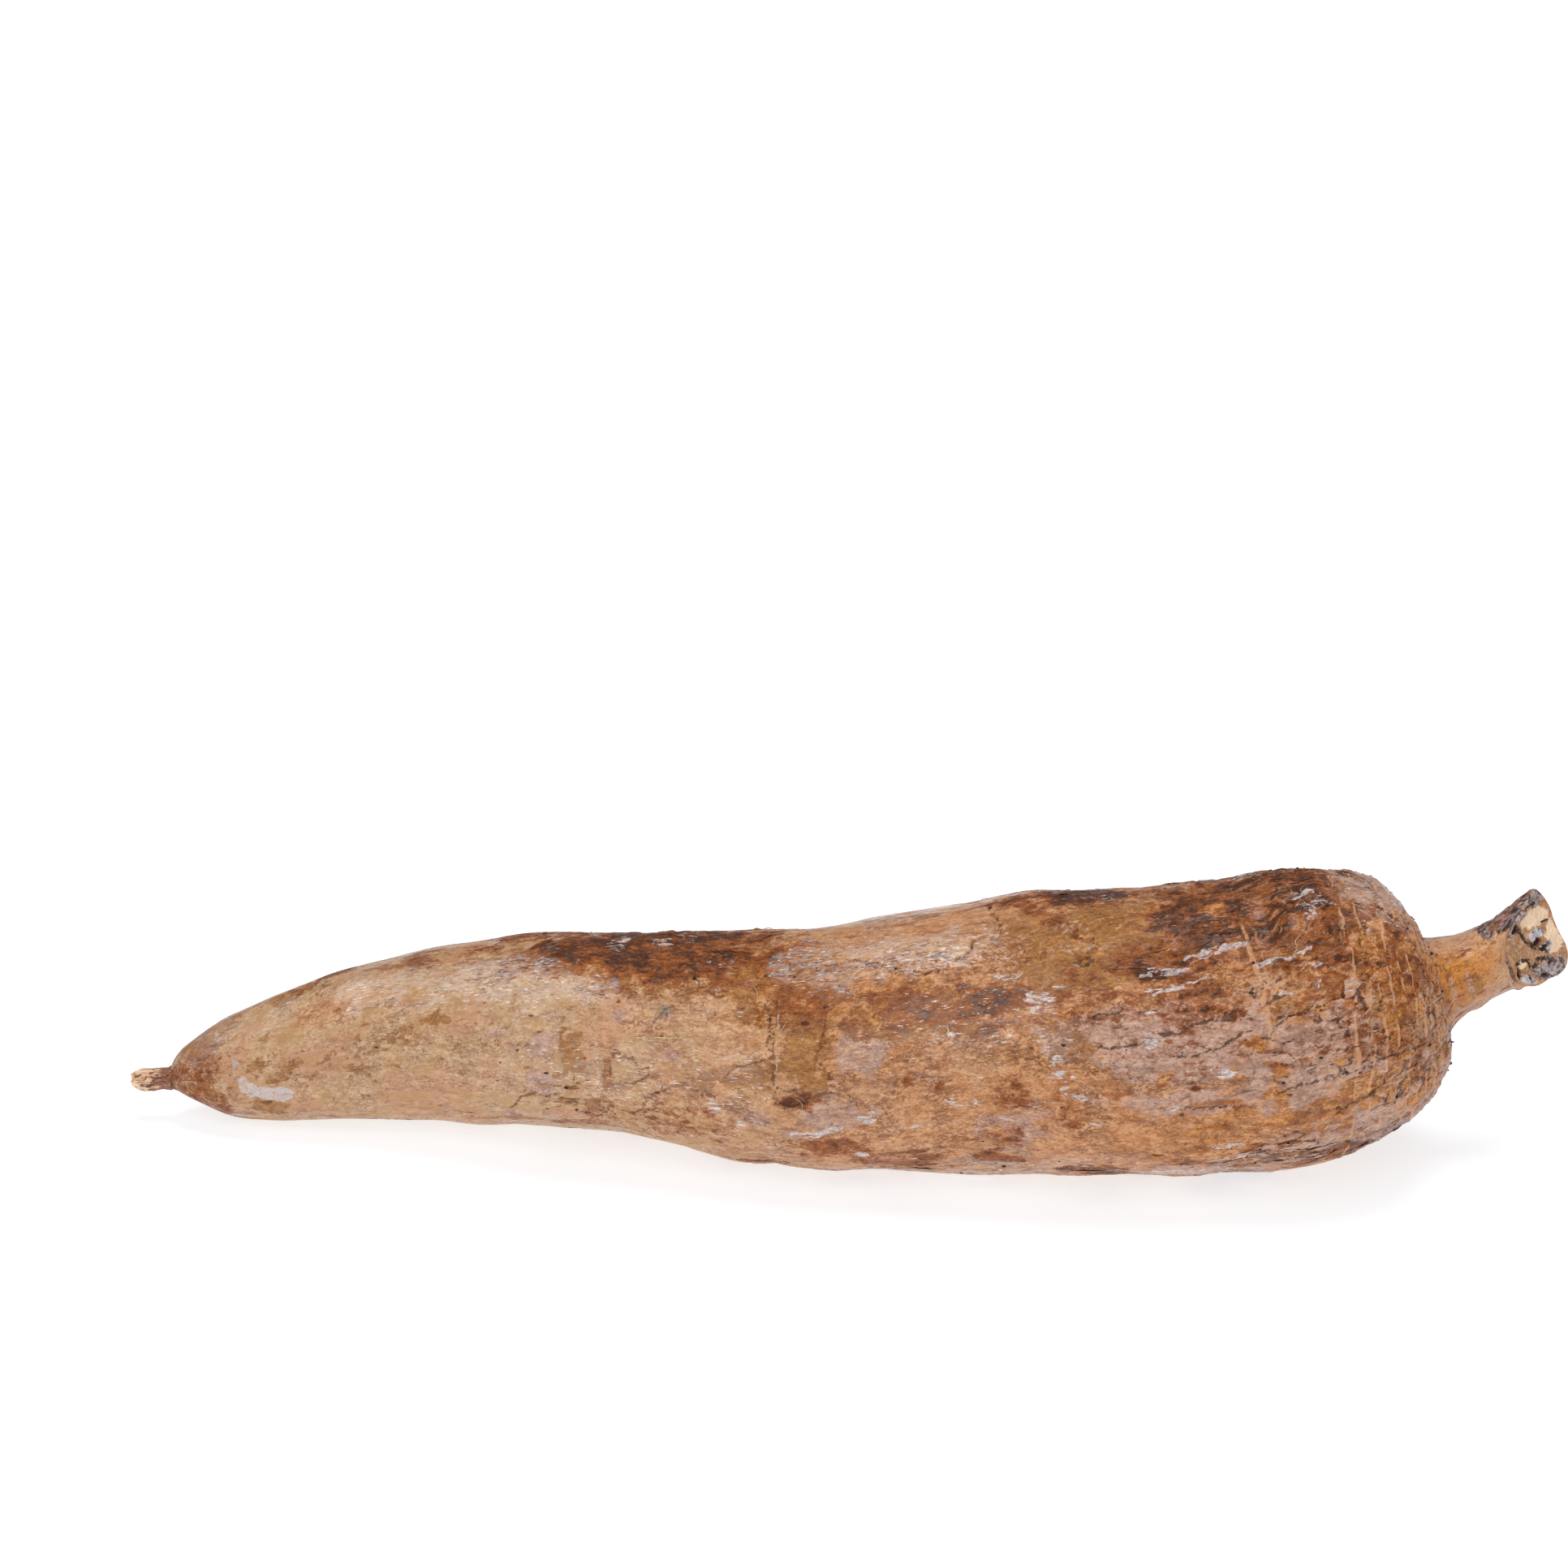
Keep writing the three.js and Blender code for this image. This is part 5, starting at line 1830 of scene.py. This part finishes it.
@dataclass
class NeckCut(Part):
    """The cut end of the stem's neck: pale and brown wood, rotted in places, inside a ragged rim of bark."""

    FINISH = CutWoodFinish
    stack: RingStack
    bark: Bark
    seed: int = 4410
    around: int = 240
    rows: int = 66
    rim_width: float = 1.5
    pale: tuple[FacePatch, ...] = rows_of(
        FacePatch,
        (1.2, 6.6, 5, 2.3), (6.9, 0.4, 2.6, 4, 0.85), (7.8, -2.4, 2.2, 1.8), (-6.4, -3.4, 2.2, 1.1, 0.7),
    )
    mould: tuple[FacePatch, ...] = rows_of(
        FacePatch,
        (0.6, 2.4, 3.4, 1.5), (4.2, -1.6, 2.4, 1.5, 0.8), (-5.4, -8, 3.4, 2), (4, -7, 5, 2.4, 0.5),
    )
    rot: tuple[FacePatch, ...] = rows_of(
        FacePatch,
        (1.3, 0.5, 1.3, 1.2, 1, 2.6), (3.6, -1.7, 1.2, 0.8, 0.9, 0.8), (-7, 5.9, 2.5, 1.3, 1, 1.2),
        (-8, -5.2, 1.5, 1.9, 1, 2.2), (-4, -7.6, 0.7, 0.7, 0.9, 0.9), (5.3, 4.6, 1.5, 0.3, 0.8, 0.3),
        (4.3, -5.8, 1.5, 0.5, 0.8, 0.6), (1.8, -8.4, 1.7, 0.8, 0.6, 0.6), (1, 10.2, 2.4, 0.5, 0.8, 0.4),
    )
    rim: tuple[FacePatch, ...] = rows_of(
        FacePatch,
        (1.6, 11.2, 4.4, 2.2), (-5.6, 8.6, 4, 1.7), (-9.4, 5.6, 1.6, 2, 0.9), (4.4, -7.4, 6.4, 3, 0.8),
    )
    seams: tuple[Line, ...] = (
        ((-7.0, 6.2), (-4.6, 4.8), (-3.6, 1.8), (-0.8, -0.2), (2.4, -1.8), (4.6, -3.0)),
        ((-9.0, -4.6), (-7.6, -3.0), (-5.0, -2.6), (-3.2, -3.4), (-2.8, -4.8)),
        ((-1.4, -5.2), (0.8, -4.0), (3.4, -4.2), (5.6, -5.4)),
    )

    def build(self) -> Piece:
        """Make the cut face.

        Returns:
            The piece.
        """
        rings = self.stack.neck_face()
        length = RingStack.lengths(rings)[-1]
        grid = RingStack.fine(rings, np.linspace(0, length, self.rows + 1)[:-1], self.around)
        rim = self.bark.points[-1, ::2]
        fade = (1 - grid.run / length)[:, None, None] ** 2
        base = grid.points + (rim - grid.points[0]) * fade
        middle = rim.mean(axis=0)
        outwards = unit(np.cross(np.roll(rim, -1, axis=0) - middle, rim - middle).sum(axis=0))
        right = unit(np.cross([0.0, 0.0, 1.0], outwards))
        flat = base.reshape(-1, 3) - middle
        u, v = flat @ right, flat @ np.cross(outwards, right)
        place = np.stack([u, v, np.zeros(len(u))], axis=1)
        fray = Grain(self.seed).layered(place / 2.2, 4)
        fibres = Grain(self.seed + 1).layered(place / np.array([0.7, 2.6, 1.0]), 3)
        crumbs = Grain(self.seed + 2).layered(place / 0.8, 3)
        inside = smooth(np.repeat(grid.run, self.around), 0.15, self.rim_width)
        height = inside * (0.40 * fray + 0.20 * fibres + 0.14 * crumbs)
        covers = {"brown": np.full(len(u), 0.62)}
        bent = (u + 0.9 * fray, v + 0.9 * crumbs)
        seam = np.min([away_from_line(*bent, np.array(line)) for line in self.seams], axis=0)
        broken = smooth(Grain(self.seed + 3).layered(place / 1.6, 3), -0.35, 0.15)
        for name, patches in (("rim", self.rim), ("mould", self.mould), ("rot", self.rot)):
            total = at_least(0.25, broken) * smooth(seam, 0.9, 0.2) if name == "rot" else np.zeros(len(u))
            for patch in patches:
                found = patch.cover(u, v, fray)
                total = np.maximum(total, found * patch.amount)
                height -= found * patch.depth * inside
            covers[name] = total if name == "rim" else total * at_least(0.25, inside)
        height -= 0.5 * smooth(seam, 0.8, 0.1) * inside
        height += (0.45 * covers["mould"] + 0.5 * covers["rim"]) * inside * (0.4 + crumbs)
        for patch in self.pale:
            covers["brown"] = covers["brown"] * (1 - patch.amount * patch.cover(u, v, fray))
        covers["skin"] = smooth(np.repeat(grid.run, self.around) + 1.2 * fray, 2.2, 0.4)
        points = base.reshape(-1, 3) + outwards * height[:, None]
        pole = points[-self.around :].mean(axis=0)
        everything = np.concatenate([points, [pole]])
        count = len(points)
        end = count - self.around
        faces = [grid_faces(grid.rows, self.around), fan_faces(end, self.around, count, False)]
        covers["spot"] = place
        carried = {
            name: np.concatenate([values, [values[end:].mean(axis=0)]]) for name, values in covers.items()
        }
        return mesh_piece("neck_cut", everything, faces, carried)


@dataclass
class Surface:
    """The finished bark as something to set small pieces on, by row and column of its grid."""

    bark: Bark

    def find(self, row: Array, column: Array) -> tuple[Array, Array]:
        """Find points on the bark.

        Args:
            row: Rows, with parts of a row.
            column: Columns, with parts of a column, any number of turns round.

        Returns:
            The points, in mm, and their normals.
        """
        row = np.clip(row, 0, len(self.bark.points) - 1.001)
        i = np.floor(row).astype(int)
        j = np.floor(column).astype(int)
        a, b = (row - i)[..., None], (column - j)[..., None]
        around = self.bark.around
        found = []
        for table in (self.bark.points, self.bark.normals):
            near = table[i, j % around] * (1 - b) + table[i, (j + 1) % around] * b
            far = table[i + 1, j % around] * (1 - b) + table[i + 1, (j + 1) % around] * b
            found.append(near * (1 - a) + far * a)
        return found[0], unit(found[1])

    def row_at(self, x: Array | float) -> Array:
        """Give the row whose middle is at this x."""
        return np.interp(x, self.bark.grid.station, np.arange(self.bark.grid.rows))

    def column_at(self, angle: Array | float) -> Array:
        """Give the column at this angle."""
        return np.asarray(angle) * self.bark.around / 360.0

    def rows_in(self, length: Array, row: float) -> Array:
        """Turn millimetres along the root into rows, near this row.

        Args:
            length: The millimetres.
            row: The row.

        Returns:
            The number of rows, with its fraction.
        """
        run = self.bark.grid.run
        at = int(np.clip(row, 1, len(run) - 2))
        return np.asarray(length) / (run[at + 1] - run[at - 1]) * 2

    def columns_in(self, length: Array, row: float) -> Array:
        """Turn millimetres round the root into columns, near this row."""
        reach = self.bark.grid.ring_radius[int(np.clip(row, 0, len(self.bark.points) - 1))]
        return np.asarray(length) / (2 * math.pi * reach) * self.bark.around


@dataclass
class CorkFlakes:
    """Small sheets of outer cork, held at one side and lifted at the other."""

    surface: Surface
    finish: bpy.types.Material
    seed: int = 2207
    count: int = 330
    length: tuple[float, float] = (2.6, 9.5)
    width: tuple[float, float] = (0.5, 1.7)
    lift: tuple[float, float] = (0.10, 0.55)
    thickness: float = 0.09
    lowest: float = 6.0
    grid: tuple[int, int] = (11, 5)

    def build(self) -> Piece:
        """Make the flakes as one piece.

        Returns:
            The piece.
        """
        chance = np.random.default_rng(self.seed)
        bark = self.surface.bark
        grown = bark.fields.covers
        rough = grown["rough"] * (0.4 + grown["umber"]) * (1 - grown["neck"])
        rough = rough * (bark.points[:, :, 2].ravel() > self.lowest)
        weight = rough**1.5 * np.repeat(bark.grid.ring_radius, bark.around)
        picked = chance.choice(len(weight), self.count, p=weight / weight.sum())
        parts = [self._flake(chance, int(at)) for at in picked]
        size = len(parts[0][0])
        points = np.concatenate([part[0] for part in parts])
        faces = np.concatenate([self._faces() + size * i for i in range(len(parts))])
        at = np.concatenate([part[2] for part in parts])
        covers = {name: values[at] for name, values in grown.items()}
        # The flakes' lifted edges carry a painted highlight.
        covers["lip"] = np.concatenate([part[1] for part in parts])
        covers["line"] = np.zeros(len(points))
        shift = np.repeat(chance.uniform(-40.0, 40.0, (len(parts), 3)), size, axis=0)
        inner = points - np.repeat([part[0].mean(axis=0) for part in parts], size, axis=0)
        covers["spot"] = inner + shift
        covers["streak"] = inner + shift
        return mesh_piece("cork_flakes", points, [faces], covers)

    def _flake(self, chance: np.random.Generator, at: int) -> tuple[Array, Array, Array]:
        """Bend one flake over the bark.

        Args:
            chance: Where its sizes come from.
            at: The number of the bark's point that it grows from.

        Returns:
            Its points, how near each is to the lifted edge, and the number of the bark's point below each.
        """
        around = self.surface.bark.around
        row, column = at // around, at % around
        length = chance.uniform(*self.length)
        width = chance.uniform(*self.width)
        lift = chance.uniform(*self.lift)
        lean = math.radians(chance.normal(6.0, 9.0))
        side = 1.0 if chance.random() < 0.7 else -1.0
        n, m = self.grid
        u, v = np.meshgrid(np.linspace(0, 1, n), np.linspace(0, 1, m), indexing="ij")
        waver = chance.normal(0.0, 0.16, (n, 1)) + 1.0
        reach = np.sqrt(np.clip(np.sin(math.pi * (0.06 + 0.88 * u)), 0, 1)) * waver
        along = (u - 0.5) * length
        across = side * v * width * reach
        bend = 0.25 * width * np.sin(math.pi * u * chance.uniform(0.6, 1.6) + chance.uniform(0, 3))
        across = across + bend
        rows = row + self.surface.rows_in(along * math.cos(lean) - across * math.sin(lean), row)
        columns = column + self.surface.columns_in(along * math.sin(lean) + across * math.cos(lean), row)
        base, upwards = self.surface.find(rows, columns)
        rise = lift * v**1.7 * (0.45 + 0.55 * np.sin(math.pi * u)) * reach
        curl = -0.25 * lift * v**4
        under = base + upwards * (rise + curl - 0.03)[..., None]
        top = under + upwards * self.thickness * (1.0 - 0.55 * v)[..., None]
        # How strongly the lifted edge carries a painted highlight.
        edge = np.clip(v * 1.1 - 0.1, 0, 1) ** 2 * chance.uniform(0.1, 0.75)
        below_row = np.clip(np.rint(rows), 0, self.surface.bark.grid.rows - 1).astype(int)
        below = below_row * around + np.rint(columns).astype(int) % around
        points = np.concatenate([under.reshape(-1, 3), top.reshape(-1, 3)])
        return points, np.tile(edge.ravel(), 2), np.tile(below.ravel(), 2)

    def _faces(self) -> Array:
        """Join a flake's under side, top and sides.

        Returns:
            The faces of the first flake.
        """
        n, m = self.grid
        number = np.arange(n * m).reshape(n, m)
        corners = [number[:-1, :-1], number[1:, :-1], number[1:, 1:], number[:-1, 1:]]
        quads = np.stack(corners, axis=-1).reshape(-1, 4)
        top = quads[:, ::-1] + n * m
        loop = np.concatenate([number[:, 0], number[-1, 1:], number[-2::-1, -1], number[0, -2:0:-1]])
        after = np.roll(loop, -1)
        sides = np.stack([loop, after, after + n * m, loop + n * m], axis=1)[:, ::-1]
        return np.concatenate([quads, top, sides])

    def dress(self, piece: Piece) -> None:
        """Give the flakes their finish."""
        dress(piece, self.finish)


@dataclass(frozen=True)
class Strand:
    """A fibre lying on the bark along (x, angle) points: how thick it is, how high it bows and its shade."""

    line: Line
    radius: float = 0.12
    bow: float = 0.2
    shade: float = 0.0


@dataclass
class RootHairs(Part):
    """Straws and dry root hairs that stick to the wax."""

    FINISH = FibreFinish
    surface: Surface
    seed: int = 5119
    loose: int = 46
    loose_x: tuple[float, float] = (-150.0, 134.0)
    loose_angle: tuple[float, float] = (-60.0, 250.0)
    loose_length: tuple[float, float] = (3.0, 11.0)
    loose_radius: tuple[float, float] = (0.05, 0.11)
    sides: int = 6
    steps: int = 14
    placed: tuple[Strand, ...] = rows_of(
        Strand,
        (((-47, 23.5), (-40, 25), (-33, 26.5)), 0.15, 0.25),
        (((-44, 22), (-36, 25.5), (-31, 28.5)), 0.12, 0.2),
        (((-56.5, 36), (-55, 42)), 0.09, 0.15),
        (((-39.5, 43), (-38.2, 40), (-38, 36)), 0.12, 0.5, 0.9),
        (((-42.5, 40.5), (-38.5, 40), (-35, 41)), 0.10, 0.5, 0.8),
        (((-41, 36.5), (-38.5, 39.5), (-36.5, 43.5)), 0.10, 0.6, 1),
        (((-40.5, 42.5), (-38.5, 40), (-36.5, 37)), 0.08, 0.4, 0.7),
        (((-38.6, 39.5), (-40.5, 34.5), (-41.5, 30)), 0.10, 0.3, 0.9),
        (((-165, 0), (-162.5, 5)), 0.10, 0.1),
        (((24.8, 26.5), (25.4, 28.5), (24.9, 30)), 0.20, 0.1),
        (((-23.6, 25), (-22.8, 24)), 0.26, 0.1),
        (((103, 49), (104.5, 52), (103.6, 55), (105.5, 57)), 0.13, 0.4, 0.2),
        (((-12, 31), (-10.5, 38)), 0.09, 0.2, 0.3),
    )

    def build(self) -> Piece:
        """Make the fibres as one piece.

        Returns:
            The piece.
        """
        chance = np.random.default_rng(self.seed)
        strands = list(self.placed)
        for _ in range(self.loose):
            x, angle = chance.uniform(*self.loose_x), chance.uniform(*self.loose_angle)
            turned, length = chance.normal(0.0, 0.9), chance.uniform(*self.loose_length)
            bend = chance.normal(0.0, 0.5)
            line = [(x, angle)]
            for _ in range(3):
                x += length / 3 * math.cos(turned)
                angle += math.degrees(length / 3 * math.sin(turned) / 28.0)
                turned += bend
                line.append((x, angle))
            radius, shade = chance.uniform(*self.loose_radius), chance.uniform(0.0, 1.0)
            strands.append(Strand(tuple(line), radius, chance.uniform(0.05, 0.6), shade))
        parts = [self._tube(strand) for strand in strands]
        size = len(parts[0])
        faces, caps = self._faces()
        tables = [np.concatenate([table + size * i for i in range(len(parts))]) for table in (faces, caps)]
        shade = np.repeat([strand.shade for strand in strands], size)
        return mesh_piece("root_hairs", np.concatenate(parts), tables, {"shade": shade})

    def _tube(self, strand: Strand) -> Array:
        """Draw one fibre as a tube that thins to its ends.

        Args:
            strand: The fibre.

        Returns:
            Its points: the tube's rings and a tip at each end.
        """
        line = np.array(strand.line, float)
        t = np.linspace(0, 1, self.steps)
        at = np.linspace(0, 1, len(line))
        x, angle = (np.interp(t, at, line[:, k]) for k in (0, 1))
        x, angle = (np.convolve(np.pad(c, 2, mode="edge"), np.ones(5) / 5, "valid") for c in (x, angle))
        base, upwards = self.surface.find(self.surface.row_at(x), self.surface.column_at(angle))
        bow = strand.bow * np.sin(math.pi * t)
        middle = base + upwards * (strand.radius * 0.7 + bow)[:, None]
        along = unit(np.gradient(middle, axis=0))
        across = unit(np.cross(along, upwards))
        over = np.cross(across, along)
        thick = strand.radius * (0.45 + 0.55 * np.sin(math.pi * (0.12 + 0.76 * t)))
        turned = np.arange(self.sides) * 2 * math.pi / self.sides
        ring = np.cos(turned)[None, :, None] * across[:, None] + np.sin(turned)[None, :, None] * over[:, None]
        rings = middle[:, None] + ring * thick[:, None, None]
        tips = [middle[0] - along[0] * strand.radius, middle[-1] + along[-1] * strand.radius]
        return np.concatenate([rings.reshape(-1, 3), tips])

    def _faces(self) -> tuple[Array, Array]:
        """Join a tube's rings and tips.

        Returns:
            The four-sided faces, and the triangles at the tips.
        """
        count = self.steps * self.sides
        sides = grid_faces(self.steps, self.sides)[:, ::-1]
        first = fan_faces(0, self.sides, count, False)
        last = fan_faces(count - self.sides, self.sides, count + 1, True)
        return sides, np.concatenate([first, last])


@dataclass
class SoilCrumbs(Part):
    """Crumbs of dry soil, held in the cracks."""

    FINISH = SoilFinish
    surface: Surface
    seed: int = 8802
    count: int = 340
    size: tuple[float, float] = (0.12, 0.42)

    def build(self) -> Piece:
        """Make the crumbs as one piece.

        Returns:
            The piece.
        """
        chance = np.random.default_rng(self.seed)
        bark = self.surface.bark
        weight = (bark.fields.covers["line"] ** 4 + 0.004) * (1 - bark.fields.covers["neck"])
        weight = weight * np.repeat(bark.grid.ring_radius, bark.around)
        picked = chance.choice(len(weight), self.count, p=weight / weight.sum())
        ball, faces = self._ball()
        parts = []
        for at in picked:
            place, upwards = bark.points.reshape(-1, 3)[at], bark.normals.reshape(-1, 3)[at]
            size = chance.uniform(*self.size) * np.array([1.25, 1.0, 0.75]) * chance.uniform(0.7, 1.3, 3)
            lumpy = 1 + 0.5 * Grain(int(at) % 9973).plain(ball * 1.7 + 5.0)[:, None]
            parts.append(place + upwards * size.min() * 0.35 + ball * lumpy * size)
        shade = np.repeat(chance.uniform(0, 1, len(parts)), len(ball))
        table = np.concatenate([faces + len(ball) * i for i in range(len(parts))])
        return mesh_piece("soil_crumbs", np.concatenate(parts), [table], {"shade": shade})

    @staticmethod
    def _ball() -> tuple[Array, Array]:
        """Divide an eight-sided solid twice and round it off.

        Returns:
            Its points and faces.
        """
        points = [(1, 0, 0), (-1, 0, 0), (0, 1, 0), (0, -1, 0), (0, 0, 1), (0, 0, -1)]
        points = [np.array(p, float) for p in points]
        faces = [(4, 0, 2), (4, 2, 1), (4, 1, 3), (4, 3, 0), (5, 2, 0), (5, 1, 2), (5, 3, 1), (5, 0, 3)]
        for _ in range(2):
            middles: dict[tuple[int, int], int] = {}
            finer = []
            for face in faces:
                between = []
                for a, b in zip(face, face[1:] + face[:1]):
                    key = (min(a, b), max(a, b))
                    if key not in middles:
                        middles[key] = len(points)
                        points.append(unit(points[a] + points[b]))
                    between.append(middles[key])
                (a, b, c), (ab, bc, ca) = face, between
                finer += [(a, ab, ca), (b, bc, ab), (c, ca, bc), (ab, bc, ca)]
            faces = finer
        return np.array(points), np.array(faces)


# ----------------------------------------
# Studio


@dataclass(frozen=True)
class FarLight:
    """A soft light from far away: where it shines from, how wide it looks and how strong it is.

    The direction is given by degrees from the front, turning to the right, and by degrees above the floor.
    """

    name: str
    bearing: float
    height: float
    width: float
    strength: float

    def build(self) -> None:
        """Hang the light."""
        light = bpy.data.lights.new(self.name, "SUN")
        light.energy = self.strength
        light.angle = math.radians(self.width)
        bearing, height = math.radians(self.bearing), math.radians(self.height)
        towards = Vector(
            (math.sin(bearing) * math.cos(height), -math.cos(bearing) * math.cos(height), math.sin(height))
        )
        lamp = bpy.data.objects.new(self.name, light)
        lamp.location = towards * 2.0
        lamp.rotation_euler = towards.to_track_quat("Z", "Y").to_euler()
        bpy.context.scene.collection.objects.link(lamp)


@dataclass
class Studio:
    """The camera, the floor and the lights."""

    eye: tuple[float, float, float] = (-0.014799, -0.822188, 0.416010)
    down: float = 21.2
    lens: float = 85.0
    sensor: float = 36.0
    floor_size: float = 8.0
    floor_drop: float = 0.00002
    sky: float = 0.30
    lights: tuple[FarLight, ...] = (
        FarLight("overhead_light", 150.0, 80.0, 26.0, 1.35),
        FarLight("front_light", -22.0, 42.0, 60.0, 1.35),
    )

    def build(self) -> None:
        """Set the studio up."""
        camera = bpy.data.cameras.new("camera")
        camera.lens = self.lens
        camera.sensor_width = self.sensor
        camera.sensor_fit = "HORIZONTAL"
        stand = bpy.data.objects.new("camera", camera)
        stand.location = self.eye
        stand.rotation_euler = (math.radians(90.0 - self.down), 0.0, 0.0)
        scene = bpy.context.scene
        scene.collection.objects.link(stand)
        scene.camera = stand
        scene.view_settings.view_transform = "Standard"
        world = bpy.data.worlds.new("studio")
        world.use_nodes = True
        background = world.node_tree.nodes["Background"]
        background.inputs["Color"].default_value = (1.0, 1.0, 1.0, 1.0)
        background.inputs["Strength"].default_value = self.sky
        scene.world = world
        for light in self.lights:
            light.build()
        self._floor()

    def _floor(self) -> None:
        """Lay the floor, a hair below the root."""
        reach, drop = self.floor_size / 2, self.floor_drop
        corners = [(x * reach, y * reach, -drop) for x, y in ((-1, -1), (1, -1), (1, 1), (-1, 1))]
        mesh = bpy.data.meshes.new("floor")
        mesh.from_pydata(corners, [], [(0, 1, 2, 3)])
        floor = bpy.data.objects.new("floor", mesh)
        bpy.context.scene.collection.objects.link(floor)
        floor.data.materials.append(FloorFinish().build())


# ----------------------------------------
# Everything together


def main() -> None:
    """Build the studio and the root."""
    logging.basicConfig(level=logging.INFO, format="%(message)s")
    Studio().build()
    stack = RingStack()
    bark = Bark(stack)
    bark.dress(bark.build())
    surface = Surface(bark)
    ends = (TailStub(stack), NeckCut(stack, bark))
    for part in (*ends, CorkFlakes(surface, bark.finish), RootHairs(surface), SoilCrumbs(surface)):
        part.dress(part.build())


if __name__ == "__main__":
    main()
